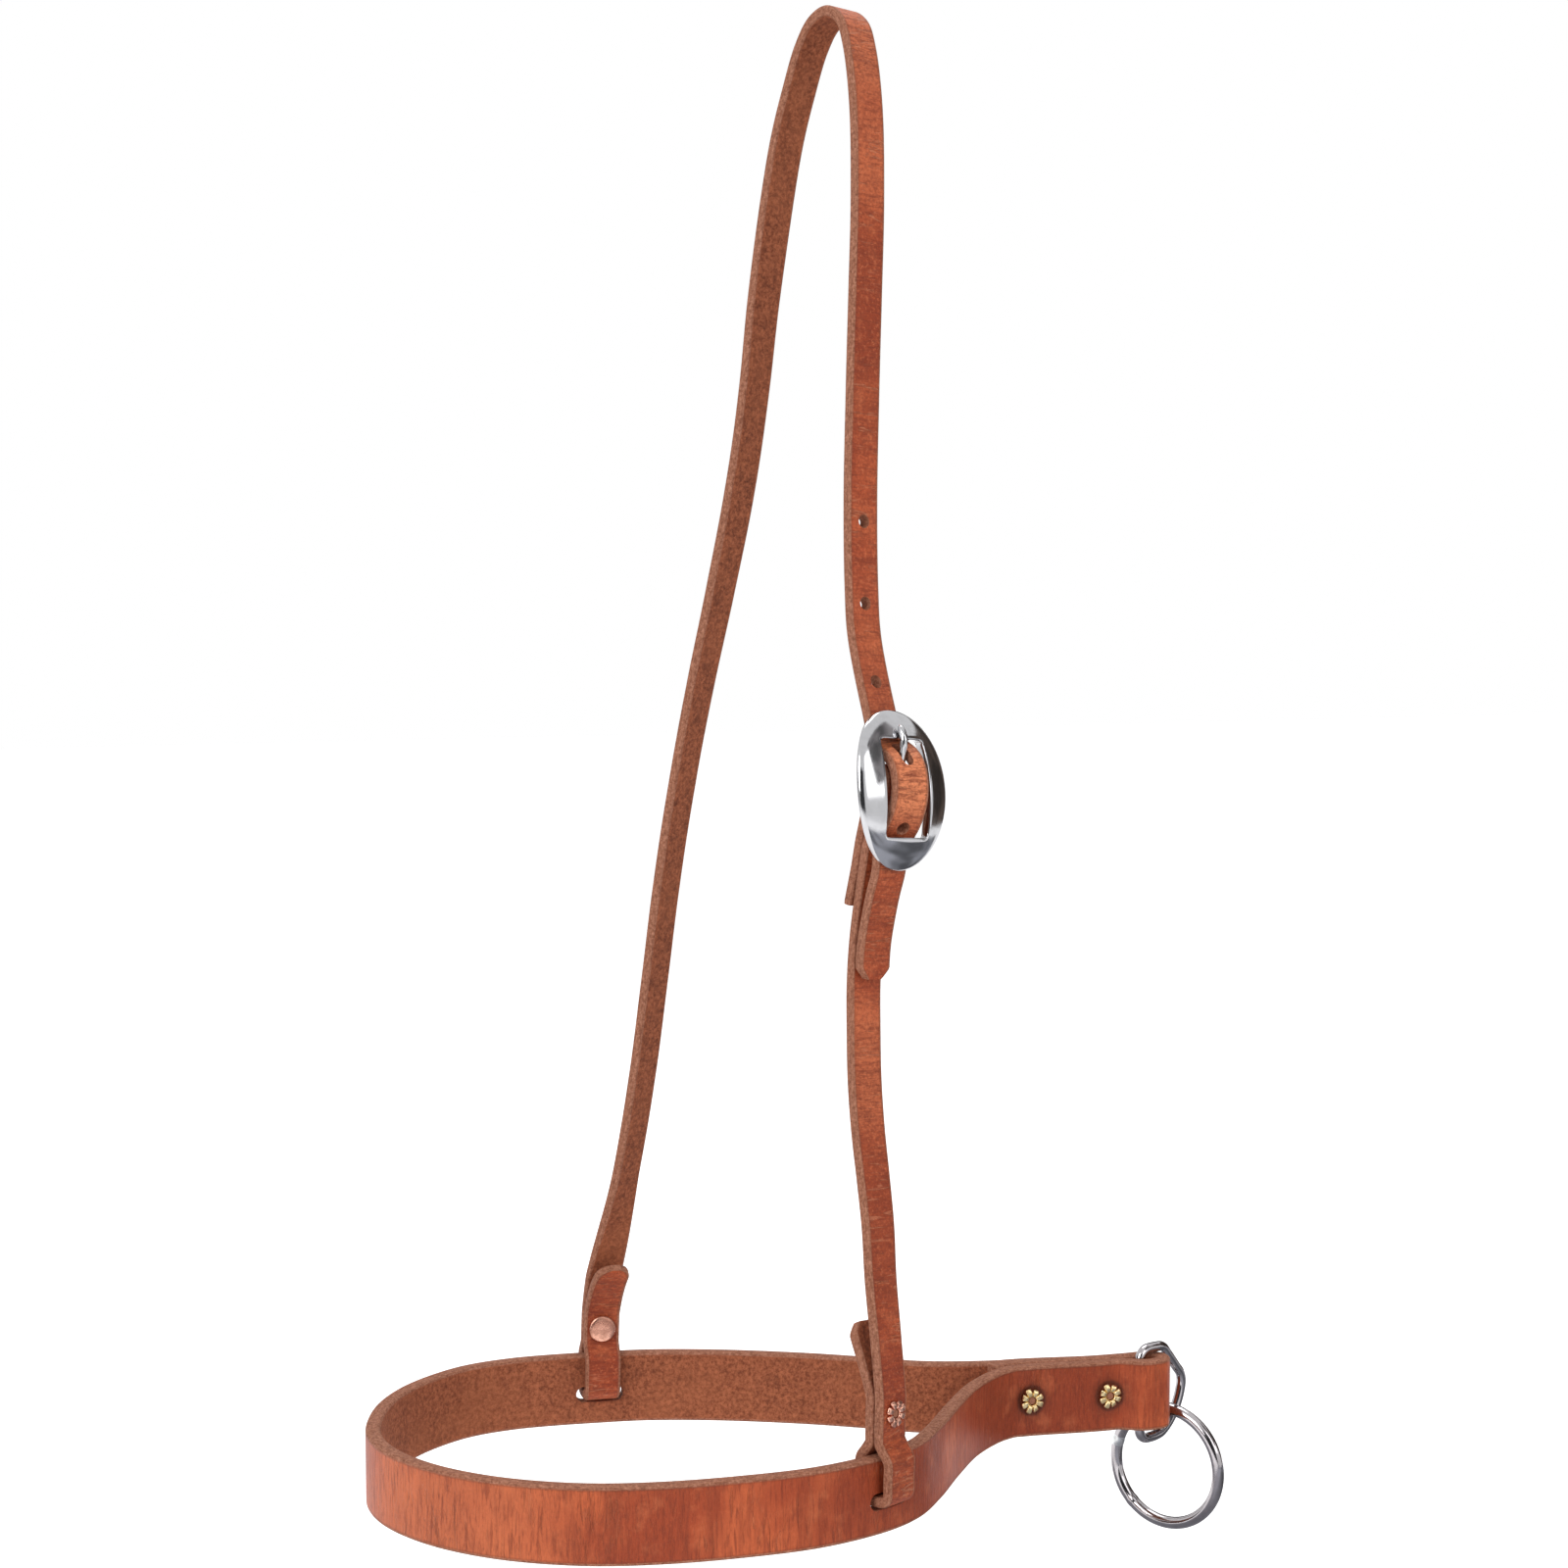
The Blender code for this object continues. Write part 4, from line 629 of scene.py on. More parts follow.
tongue_points = tongue_line()
shaft = np.array([in_frame(*point) for point in curve_through(tongue_points[14:18], 0.2 * MM)])
apart = np.linalg.norm(crown.route[:, None] - shaft, axis=2)
here = crown.run[np.argmin(apart.min(axis=1))]
print("tongue hole %.1f mm along, %.1f mm from the rim" % (here / MM, (here - rims[0]) / MM))
crown_piece = crown.surface(CHEEK_EDGE, 13)
cheek_piece = cheek.surface(CHEEK_EDGE, 13)
cheek_cut = (0, (CHEEK_WIDTH + CHEEK_THICK / 2) / MM)
nose_cut = (0, (NOSE_WIDTH + NOSE_THICK / 2) / MM)
HOLES_FROM_TONGUE = (-1, 1, 2, 3)
holes = [crown.slot_cutter(here - HOLE_LEAD - n * HOLE_PITCH, 0, HOLE_WIDE, HOLE_WIDE, HOLE_TAPER)
         for n in HOLES_FROM_TONGUE]
holes.append(crown.slot_cutter(here, 0, TONGUE_WIDE + 2 * TONGUE_PLAY + HOLE_STRETCH,
                               TONGUE_WIDE + 4 * GAP))
punch(crown_piece, holes, cheek_cut)
punch(nose_piece, slots, nose_cut)

# %% [markdown]
# ## Frames to build the fittings in
#
# Each fitting is drawn flat on the bench, in its own axes, and put in place by one four by four
# matrix. The same small matrices place the rivets, whose bores go through the leather.

# %% Matrices
def shift(x, y, z):
    matrix = np.eye(4)
    matrix[:3, 3] = (x, y, z)
    return matrix


def turn(axis, angle):
    matrix, (a, b) = np.eye(4), ((1, 2), (2, 0), (0, 1))[axis]
    matrix[a, a] = matrix[b, b] = math.cos(angle)
    matrix[a, b], matrix[b, a] = -math.sin(angle), math.sin(angle)
    return matrix


def axes(place, x, y, z):
    matrix = np.eye(4)
    matrix[:3] = np.stack([x, y, z, place], 1)
    return matrix


def unit(vector):
    return vector / np.linalg.norm(vector)


def put(matrix, grid):
    return grid @ matrix[:3, :3].T + matrix[:3, 3]


def strap_basis(side, height):
    """Axes on the headstall: across the strap, up it and out of it."""
    step = CHEEK_THICK
    across = unit(hang(side, height, step) - hang(side, height, -step))
    out = unit(hang(side + step, height, 0) - hang(side - step, height, 0))
    up = unit(np.cross(out, across))
    return axes(hang(side, height, 0), across, up, np.cross(across, up))


PAIR = 2 * CHEEK_THICK + SEAM
STACK = 3 * NOSE_THICK + 2 * SEAM
INSIDE = shift(0, 0, -PAIR / 2)
FAR_RIVET = strap_basis(-SPREAD, NOSE_WIDTH + FAR_HANGER["rivet_above"]) @ turn(1, math.pi)
FAR_RIVET = FAR_RIVET @ INSIDE
NEAR_RIVET = strap_basis(SPREAD, NOSE_WIDTH + NEAR_HANGER["rivet_above"]) @ INSIDE
UNDER_BAR = strap_basis(*CHAPE_RIVET) @ turn(0, CHAPE_SLOPE) @ INSIDE
TAIL_BACK = TAIL_LINE + 2 * LAYER + NOSE_THICK / 2
TAIL_RIVETS = [axes(np.array([x, TAIL_BACK, TAIL_RIVET_UP + float(droop_at(x))]) - POLL,
                    (1, 0, 0), (0, 0, 1), (0, -1, 0)) for x in TAIL_RIVET_X]


def bore(matrix, low, high, long=SHANK_WIDE + GAP, wide=SHANK_WIDE + GAP):
    """Straight hole along Z from low to high. A long one is a slot along Y."""
    around = circle(32) + 0.05
    level = np.linspace(low, high, 5)[:, None] + 0 * around
    x = wide / 2 * np.cos(around)
    y = wide / 2 * np.sin(around) + (long - wide) / 2 * np.sign(np.sin(around))
    return put(matrix, np.stack([x + 0 * level, y + 0 * level, level], -1))


PAST = 1.2 * MM
REACH = CHAPE_RADIUS + CHEEK_THICK / 2 + 2 * MM
EYE_END = EYE_RADIUS + TONGUE_WIDE / 2 + 4 * GAP
punch(crown_piece, [bore(FAR_RIVET, -PAST, PAIR + PAST)], cheek_cut)
punch(cheek_piece, [bore(NEAR_RIVET, -PAST, PAIR + PAST), bore(UNDER_BAR, -PAST, PAIR + PAST)],
      cheek_cut)
punch(cheek_piece, [bore(strap_basis(*BAR) @ shift(0, (REACH - EYE_END) / 2, 0), -REACH, REACH,
                         REACH + EYE_END, CHAPE_SLOT)], cheek_cut)
punch(nose_piece, [bore(place, -PAST, STACK + PAST) for place in TAIL_RIVETS], nose_cut)


# %% [markdown]
# ## Rivets
#
# A tubular rivet is a flat head on a hollow shank. The setting tool splits the shank's end into
# petals and rolls them over the leather. As a surface of revolution its radius is let in and
# out round the circle, with a deep narrow notch between each pair of petals. The leather that
# the shank cut out of the strap stays in its bore as a plug.

# %% Rivet and plug
PETALS = 8


def revolve(name, matrix, radius, level):
    """Surface turned about Z from a radius and a level for every row and every angle."""
    around = circle(radius.shape[1])
    return piece(name, put(matrix, np.stack([radius * np.cos(around), radius * np.sin(around),
                                             level + 0 * radius], -1)), smooth=50)


def full_rows(rows, count):
    """Pairs of two measures, each one number or one per angle, as two grids."""
    return [np.stack([np.broadcast_to(value, count) for value in column])
            for column in zip(*rows)]


def rivet(name, matrix, grip, flower, slot, body, node):
    """Head below the leather, petals over it, and the plug in the middle of the petals."""
    count = 128
    around = circle(count)
    notch = np.exp(-(np.sin(PETALS / 2 * around) / 0.34) ** 2)
    wild = 1 + 0.05 * np.sin(3 * around + grip * 900) + 0.03 * np.sin(5 * around + flower * 4000)
    head, shank, hollow = HEAD_WIDE / 2, SHANK_WIDE / 2, BORE_WIDE / 2
    low, top, mouth = -GAP, grip + GAP, 1.2 * MM
    rows = [(0, low - HEAD_THICK)]
    rows += [(head * share, low - HEAD_THICK * drop) for share, drop in (
        (0.35, 1.0), (0.7, 0.97), (0.88, 0.86), (0.965, 0.66), (1.0, 0.4), (0.98, 0.12), (0.93, 0))]
    rows += [(shank, low), (shank, grip)]
    reach = (flower / 2) * wild - notch * 0.78 * (flower / 2 - shank)
    rise = PETAL_RISE * (1 - 0.5 * notch)
    for angle in np.radians(np.linspace(-50, 180, 14)):
        rows.append(((reach + hollow) / 2 + (reach - hollow) / 2 * math.cos(angle),
                     top - 0.15 * MM + rise * (0.36 + 0.64 * math.sin(angle))))
    rows += [(hollow, top - mouth), (0, top - mouth)]
    made = revolve(name, matrix, *full_rows(rows, count))
    dome = np.radians(np.linspace(0, 90, 6))
    radius = np.concatenate([[0, 1.30], 1.30 * np.cos(dome)]) * MM
    level = np.concatenate([[-1.1, -1.1], 0.15 + 0.25 * np.sin(dome)]) * MM + top
    plug = revolve(name + "_plug", matrix, radius[:, None] * np.ones(40), level[:, None])
    hand_over(made, body, node)
    hand_over(plug, body, node + "_plug")
    return made, plug


rivets, plugs = {"copper": [], "nickel": [], "brass": []}, []
for name, place, grip, flower, metal_slot, body, node in (
        ("copper_rivet_far", FAR_RIVET, PAIR, FLOWER_WIDE, "copper", "headstall",
         "far_hanger_rivet"),
        ("copper_rivet_near", NEAR_RIVET, PAIR, FLOWER_WIDE, "copper", "headstall",
         "near_hanger_rivet"),
        ("nickel_rivet", UNDER_BAR, PAIR, CHAPE_FLOWER, "nickel", "headstall", "chape_rivet"),
        ("brass_rivet_front", TAIL_RIVETS[0], STACK, FLOWER_WIDE, "brass", "noseband",
         "tail_rivet_front"),
        ("brass_rivet_rear", TAIL_RIVETS[1], STACK, FLOWER_WIDE, "brass", "noseband",
         "tail_rivet_rear")):
    made, plug = rivet(name, place, grip, flower, metal_slot, body, node)
    rivets[metal_slot].append(made)
    plugs.append(plug)
print("rivets:", sum(len(kind) for kind in rivets.values()), "plugs:", len(plugs))

# %% [markdown]
# ## Buckle
#
# The cast frame is a domed oval with a square window. Along every direction from the middle the
# metal runs from the oval's edge up over the dome, round a small lip and down the window's wall.
# Drawing it ray by ray keeps the reflections smooth, which polished metal needs most. The bar
# for the cheek strap and the tongue sits on two lugs behind the rails.

# %% Buckle frame with its bar
BUCKLE = strap_basis(*BAR) @ turn(0, -FRAME_TILT) @ shift(FRAME_SHIFT, -BAR_ABOVE, -BAR_FORWARD)


def frame_grid():
    """Radius share u falls from 1 at the edge to the window, height = dome x sqrt(1 - u^2)."""
    around = circle(288)
    swell = 1 + 0.02 * np.sin(2 * around) ** 2
    x, y = FRAME_WIDE / 2 * swell * np.cos(around), FRAME_LONG / 2 * swell * np.sin(around)
    square, roll = 16, 0.55 * MM
    window = ((abs(x) / (WINDOW_WIDE / 2)) ** square
              + (abs(y) / (WINDOW_LONG / 2)) ** square) ** (-1 / square)
    size = np.hypot(x, y)
    lip = roll / size
    rows = []
    for share in np.linspace(0, 1, 15):
        rise = share * np.arccos(np.minimum(window + lip, 1))
        rows.append((np.cos(rise), FRAME_DOME * np.sin(rise)))
    inner, top = rows[-1]
    for angle in np.radians((30, 60, 90)):
        rows.append((inner - lip * math.sin(angle), top - roll * (1 - math.cos(angle))))
    floor = -FRAME_DOME / 6
    rows += [(window, floor + 0.3 * MM), (window + 0.5 * lip, floor), (0.968, floor),
             (0.985, floor + 0.12 * MM), (0.996, -0.3 * MM)]
    share, height = (grid.T for grid in full_rows(rows, len(around)))
    px, py = share * x[:, None], share * y[:, None]
    return np.stack([px, py, height + bow_at(py)], -1)


def tube(line, side, radius, count=28):
    """Round section along a line that lies in the plane square to side."""
    ahead = np.gradient(line, axis=0)
    if np.linalg.norm(line[0] - line[-1]) < 4 * np.linalg.norm(line[1] - line[0]):
        ahead = np.roll(line, -1, axis=0) - np.roll(line, 1, axis=0)
    ahead /= np.linalg.norm(ahead, axis=1, keepdims=True)
    out = np.cross(side, ahead)
    around = circle(count)[None, :, None]
    radius = np.broadcast_to(radius, len(line))[:, None, None]
    return line[:, None] + radius * (np.cos(around) * np.asarray(side, float)
                                     + np.sin(around) * out[:, None])


def lug_grid(sign):
    low, high = BAR_FORWARD - BAR_WIDE * 0.58, bow_at(BAR_ABOVE) + FRAME_DOME * 0.45
    corner = circle(32)
    x = np.sign(np.cos(corner)) * abs(np.cos(corner)) ** 0.35 * LUG / 2
    y = np.sign(np.sin(corner)) * abs(np.sin(corner)) ** 0.35 * BAR_WIDE * 0.6
    level = np.array([low, low + 0.08 * MM, low + 0.35 * MM, high])[:, None]
    share = np.array([0.72, 0.92, 1.0, 1.0])[:, None]
    centre = sign * (WINDOW_WIDE / 2 + GAP + LUG / 2)
    return np.stack([centre + x * share, BAR_ABOVE + y * share, level + 0 * x], -1)


half_bar = (WINDOW_WIDE + 2 * LUG) / 2
bar_line = np.stack([np.linspace(-half_bar, half_bar, 9), np.full(9, BAR_ABOVE),
                     np.full(9, BAR_FORWARD)], 1)
shells = [piece("rim", put(BUCKLE, frame_grid()), wrap_along=True, link=False)]
shells += [piece("lug", put(BUCKLE, lug_grid(sign)), link=False) for sign in (-1, 1)]
shells += [piece("bar", put(BUCKLE, tube(bar_line, (0, 0, 1), BAR_WIDE / 2)), link=False)]
buckle_piece = join("stainless_buckle", shells)
hand_over(buckle_piece, "buckle", "buckle_frame")
print("buckle has", len(buckle_piece.data.polygons), "faces")

# %% [markdown]
# The tongue is one drawn wire, bent round the bar into an eye. It comes up through the hole in
# the crown strap and its filed tip lies over the top of the window.

# %% Tongue
flat = curve_through(tongue_points, 0.45 * MM)
line = np.stack([np.full(len(flat), -FRAME_SHIFT), flat[:, 0], flat[:, 1]], 1)
left = stations(flat)[-1] - stations(flat)
thick = TONGUE_WIDE / 2 * np.clip(0.80 + 0.20 * left / (9 * MM), 0, 1)
thick = thick * np.sqrt(1 - np.clip(1 - left / (2.2 * MM), 0, 0.97) ** 2)
tongue_piece = piece("stainless_tongue", put(BUCKLE, tube(line, (1, 0, 0), thick)))
hand_over(tongue_piece, "tongue", "buckle_tongue")

# %% [markdown]
# ## Dee and ring
#
# The dee is wire bent to a flattened D and closed by a weld at its bar, which the fold hides.
# The ring hangs from its lower shoulder. It is drawn wire, welded shut, and the photograph shows
# two narrow bands on it that stand a little proud of the wire. The upper one is filed pale.

# %% Dee
DEE_POINTS = ((0.34, 1.0), (0.53, 0.965), (0.66, 0.78), (0.87, 0.44), (0.968, 0.28), (1.0, 0.11),
              (0.973, -0.12), (0.882, -0.425), (0.727, -0.73), (0.523, -0.948), (0.34, -1.0))
DEE_HALF = (DEE_HIGH + DEE_WIRE) / 2
DEE_MIDDLE = np.array([FOLD_X - DEE_SETBACK, FOLD_Y, NOSE_WIDTH / 2 - TAIL_DROOP - DEE_SAG])
DEE_OUT = np.array([math.cos(DEE_ANGLE), math.sin(DEE_ANGLE), 0])


def in_dee(points):
    points = np.asarray(points, float)
    return DEE_MIDDLE - POLL + points[:, :1] * DEE_OUT + points[:, 1:] * np.array([0, 0, 1])


corner = DEE_HALF - DEE_CORNER
flat = arc((DEE_CORNER, corner), DEE_CORNER, 180, 90, 9)
flat += [(out * DEE_DEPTH, up * DEE_HALF) for out, up in DEE_POINTS]
flat += arc((DEE_CORNER, -corner), DEE_CORNER, 270, 180, 9)
flat += [(0, up) for up in np.linspace(-corner, corner, 9)[1:]]
flat = curve_through(flat, 0.6 * MM)[:-1]
dee_piece = piece("steel_dee", tube(in_dee(flat), np.cross(DEE_OUT, (0, 0, 1)), DEE_WIRE / 2),
                  wrap_along=True)
hand_over(dee_piece, "dee", "tail_dee")

# %% Ring
RING_RADIUS = (RING_WIDE - RING_WIRE) / 2
LEVEL = np.array([math.cos(RING_ANGLE), math.sin(RING_ANGLE), 0])
crossing = in_dee([(RING_CROSSING[0] * DEE_DEPTH, RING_CROSSING[1] * DEE_HALF)])[0]
hub = crossing - RING_RADIUS * (LEVEL * math.cos(RING_TURN)
                                + np.array([0, 0, math.sin(RING_TURN)]))
around = circle(240)
round_ring = hub + RING_RADIUS * (np.cos(around)[:, None] * LEVEL
                                  + np.sin(around)[:, None] * np.array([0, 0, 1]))
WELD_AT, WELD_HALF = (math.radians(164), math.radians(228)), math.radians(2.8)
weld = sum(np.exp(-((around - place) / WELD_HALF) ** 8) for place in WELD_AT)
ring_piece = piece("steel_ring", tube(round_ring, np.cross(LEVEL, (0, 0, 1)),
                                      RING_WIRE / 2 * (1 + 0.05 * weld), 36), wrap_along=True)
hand_over(ring_piece, "ring", "tie_down_ring")

# %% Hand the leather to its bodies
hand_over(nose_piece, "noseband", "noseband_strap")
hand_over(crown_piece, "headstall", "crown_strap")
hand_over(cheek_piece, "headstall", "near_cheek_strap")
print("pieces: nose strap, crown strap, cheek strap, buckle, tongue, dee, ring and rivets")

# %% [markdown]
# ## Paint
#
# A finish is arithmetic on a few noises. Node trees are hard to read as code, so a small class
# wraps a node's output: adding or multiplying two of them makes the node that does it. The
# straps read their own UV map, u along the strap and v round its section, both in millimetres.
# That tells grain, flesh and cut edge apart, and lets creases run across the strap wherever it
# bends.

# %% Nodes written as sums and products
class Wire:
    """Output of a node. Arithmetic on it makes Math nodes."""

    def __init__(self, tree, socket):
        self.tree, self.socket = tree, socket

    def node(self, kind, settings, inputs, out=0):
        """Any other node: its type, its settings, then values or wires by input."""
        made = self.tree.nodes.new(kind)
        for name, value in settings.items():
            setattr(made, name, value)
        for name, value in inputs.items():
            if isinstance(value, Wire):
                self.tree.links.new(value.socket, made.inputs[name])
            else:
                made.inputs[name].default_value = value
        return Wire(self.tree, made.outputs[out])

    def math(self, kind, first, second=0.0):
        return self.node("ShaderNodeMath", {"operation": kind}, {0: first, 1: second})

    def __add__(self, other):
        return self.math("ADD", self, other)

    def __radd__(self, other):
        return self.math("ADD", other, self)

    def __sub__(self, other):
        return self.math("SUBTRACT", self, other)

    def __rsub__(self, other):
        return self.math("SUBTRACT", other, self)

    def __mul__(self, other):
        return self.math("MULTIPLY", self, other)

    def __rmul__(self, other):
        return self.math("MULTIPLY", other, self)

    def step(self, low, high):
        """Smooth step from 0 at low to 1 at high."""
        return self.node("ShaderNodeMapRange", {"interpolation_type": "SMOOTHSTEP"},
                         {"Value": self, "From Min": low, "From Max": high})

    def band(self, low, high, soft):
        return self.step(low - soft, low + soft) - self.step(high - soft, high + soft)

    def noise(self, scale, detail=3.0, rough=0.5, distortion=0.0):
        return self.node("ShaderNodeTexNoise", {},
                         {"Vector": self, "Scale": scale, "Detail": detail, "Roughness": rough,
                          "Distortion": distortion})

    def solid(self):
        """Place in the piece, in metres."""
        return self.node("ShaderNodeTexCoord", {}, {}, 3)

    def away(self, point):
        """Distance from one point, in metres."""
        return self.node("ShaderNodeVectorMath", {"operation": "DISTANCE"},
                         {0: self, 1: tuple(float(v) for v in point)}, 1)

    def stretch(self, x, y, z=1.0):
        return self.node("ShaderNodeVectorMath", {"operation": "MULTIPLY"},
                         {0: self, 1: (x, y, z)})

    def mix(self, low, high):
        """Colour from low to high by this factor. A colour is three linear numbers."""
        low, high = (c if isinstance(c, Wire) else (*c, 1.0) for c in (low, high))
        return self.node("ShaderNodeMix", {"data_type": "RGBA"}, {0: self, 6: low, 7: high}, 2)


def material(name, settings):
    """Material whose shader has its constants set. Gives its start wire and its shader."""
    made = bpy.data.materials.new(name)
    made.use_nodes = True
    shader = made.node_tree.nodes["Principled BSDF"]
    for key, value in settings.items():
        shader.inputs[key].default_value = value
    return made, Wire(made.node_tree, None), shader


def connect(shader, **wires):
    for name, wire in wires.items():
        wire.tree.links.new(wire.socket, shader.inputs[name.replace("_", " ")])


def layers(base, *coats):
    """Coats over a base colour, one after another, each as strong as its factor."""
    for factor, tint in coats:
        base = factor.mix(base, tint)
    return base


def bump(height, distance, strength=1.0):
    return height.node("ShaderNodeBump", {}, {"Height": height, "Distance": distance,
                                              "Strength": strength})


# %% [markdown]
# ### Leather
#
# Harness leather is reddish chestnut on the grain side, where it is glazed and finely creased.
# Its flesh side is a mottled brown nap, and its cut edges are paler, dull and fibrous. All
# three are worked out everywhere and the right one is let through by v.

# %% Leather
DENT_SHADE_RING, DENT_SHADE_SOFT, DENT_SHADE_FADE = (3.8 * MM, 5.6 * MM), 0.7 * MM, (9.5 * MM, 5.5 * MM)
GRAIN_DEPTH, PLUG_DEPTH = 0.28 * MM, 0.2 * MM


def leather(name, width, thick, edge, zones, lines, stains, pebbles, dents=()):
    """Leather for a strap of this section, in metres.

    A zone is (u, half length, amount, colour) in millimetres along the strap. It eases the
    grain towards a colour there. Lines, stains and pebbles are how strongly the pale creases,
    the dark patches of the nap and the pebbled grain show; the pebbled grain has painted shade
    in its hollows and a painted highlight on its tops. A dent is the middle of the round dent
    that a setting tool pressed into the grain, which is painted darker in and round it as
    painted shade.
    """
    face, side = width - 2 * edge, thick - 2 * edge + math.pi * edge
    grain_end, edge_end = face / MM, (face + side) / MM
    flesh_end, total = (2 * face + side) / MM, 2 * (face + side) / MM
    made, start, shader = material(name, {"IOR": 1.45, "Specular IOR Level": 0.3})
    uv = start.node("ShaderNodeUVMap", {"uv_map": "strap"}, {})
    along, over = (start.node("ShaderNodeSeparateXYZ", {}, {"Vector": uv}, i) for i in (0, 1))
    solid = start.solid()
    cut = over.band(grain_end, edge_end, 0.35) + over.band(flesh_end, total, 0.35)
    flesh = over.band(edge_end, flesh_end, 0.3)

    cloud = solid.noise(34.0, 3.0, 0.55)
    blotch = solid.noise(120.0, 4.0, 0.6)
    streak = uv.stretch(0.95, 0.11).noise(1.0, 5.0, 0.66, 0.5)
    broad = uv.stretch(0.28, 0.03).noise(1.0, 3.0, 0.6, 0.3)
    crease = uv.stretch(0.50, 0.06).noise(1.0, 2.0, 0.5, 1.1)
    pebble = solid.noise(900.0, 4.0, 0.7)
    wrinkle = uv.stretch(1.15, 0.20).noise(1.0, 4.0, 0.62, 1.4)
    worn = solid.noise(19.0, 2.0, 0.5).step(0.42, 0.60)
    zoned = [((1.0 - along.math("ABSOLUTE", along - centre).step(half * 0.4, half)) * amount, tint)
             for centre, half, amount, tint in zones]
    # Painted shade: the grain is darker in the grooves of its fine wrinkles, as far as worn and
    # pebbles say.
    fold_shade = wrinkle.step(0.50, 0.62) * worn * (0.42 + 0.5 * pebbles)
    line = (crease.step(0.59, 0.64) - crease.step(0.64, 0.71)) * cloud.step(0.40, 0.56)
    rim = over.band(0.0, 0.45, 0.3) + over.band(grain_end - 0.45, grain_end, 0.3)
    grain = layers(cloud.step(0.36, 0.66).mix((0.395, 0.064, 0.020), (0.600, 0.128, 0.043)),
                   (worn * 0.40, (0.290, 0.046, 0.015)),
                   (broad.step(0.44, 0.66) * 0.55, (0.255, 0.041, 0.014)),
                   *zoned,
                   (streak.step(0.47, 0.66) * 0.62, (0.190, 0.031, 0.012)),
                   (fold_shade, (0.165, 0.028, 0.011)),
                   (blotch.step(0.52, 0.74) * 0.35, (0.64, 0.170, 0.066)),
                   # Painted shade in the hollows of the pebbled grain, then a painted highlight on
                   # its tops.
                   (pebble.step(0.52, 0.40) * pebbles, (0.200, 0.036, 0.014)),
                   (pebble.step(0.54, 0.66) * pebbles * 0.8, (0.78, 0.240, 0.100)),
                   (line * lines, (0.70, 0.27, 0.14)), (rim * 0.4, (0.15, 0.035, 0.016)))
    # Painted shade: the grain is darker in the pressed dent round each tail rivet's petals.
    for dent in dents:
        away = solid.away(dent)
        dent_shade = away.band(*DENT_SHADE_RING, DENT_SHADE_SOFT) + away.step(*DENT_SHADE_FADE) * 0.45
        grain = (dent_shade * 0.62).mix(grain, (0.10, 0.022, 0.010))

    nap = solid.noise(780.0, 5.0, 0.72)
    stain = uv.stretch(0.36, 0.25).noise(1.0, 5.0, 0.70, 0.8)
    suede = layers(nap.step(0.32, 0.68).mix((0.190, 0.050, 0.021), (0.470, 0.146, 0.066)),
                   (stain.step(0.50, 0.62) * stains, (0.105, 0.026, 0.012)),
                   (cloud.step(0.45, 0.7) * 0.3, (0.44, 0.14, 0.06)))

    fibre = uv.stretch(0.30, 1.9).noise(1.0, 5.0, 0.7, 0.3)
    speck = solid.noise(1050.0, 4.0, 0.7)
    raw = layers(fibre.step(0.30, 0.70).mix((0.270, 0.094, 0.048), (0.460, 0.200, 0.120)),
                 (speck.step(0.50, 0.62) * 0.55, (0.13, 0.038, 0.020)),
                 (speck.step(0.46, 0.36) * 0.45, (0.64, 0.30, 0.20)))

    colour = cut.mix(flesh.mix(grain, suede), raw)
    gloss = 0.29 + 0.20 * streak + 0.12 * pebble
    rough = gloss + flesh * 0.36 + cut * 0.26
    grain_height = streak * 0.7 + pebble * (0.1 + pebbles) - line * 0.7 - wrinkle * worn * 0.8
    height = grain_height + flesh * (nap * 1.6 - grain_height) + cut * (fibre * 1.4 + speck * 0.6
                                                                         - grain_height)
    connect(shader, Base_Color=colour, Roughness=rough, Normal=bump(height, GRAIN_DEPTH))
    return made


PALE, DARK, LIGHTER_TONE = (0.95, 0.340, 0.150), (0.290, 0.046, 0.015), (0.66, 0.180, 0.072)
top_run = crown.nearest((CROWN_SIDE + CROWN_HALF, CROWN_UP - 0.5 * CROWN_DROP))
headstall_zones = [(here / MM + 4, 24.0, 0.85, PALE), (top_run / MM, 34.0, 0.7, LIGHTER_TONE),
                   (top_run / MM + 42, 24.0, 0.45, LIGHTER_TONE), (top_run / MM + 98, 52.0, 0.50, DARK),
                   (top_run / MM + 235, 70.0, 0.35, LIGHTER_TONE), (156.0, 28.0, 0.65, DARK),
                   (208.0, 32.0, 0.55, LIGHTER_TONE), (275.0, 40.0, 0.35, LIGHTER_TONE)]
# On the nose's front the lighter zone is a painted highlight, added to the grain's own sheen where
# it faces the lights.
nose_sheen = nose.nearest((LOOP_FRONT + 0.05 * LOOP_LENGTH, -0.25 * LOOP_WIDTH)) / MM
nose_tail = nose.nearest((TAIL_X + 10 * MM, TAIL_LINE)) / MM
nose_zones = [(nose_sheen, 55.0, 0.55, LIGHTER_TONE), (nose_tail, 48.0, 0.65, DARK),
              (nose_tail - 125, 50.0, 0.30, DARK)]
dent_centres = [put(place, np.array([0.0, 0.0, STACK])) for place in TAIL_RIVETS]
half_inch = leather("cheek leather", CHEEK_WIDTH, CHEEK_THICK, CHEEK_EDGE, headstall_zones,
                    lines=0.45, stains=0.50, pebbles=0.42)
one_inch = leather("nose leather", NOSE_WIDTH, NOSE_THICK, NOSE_EDGE, nose_zones,
                   lines=0.08, stains=0.34, pebbles=0.10, dents=dent_centres)


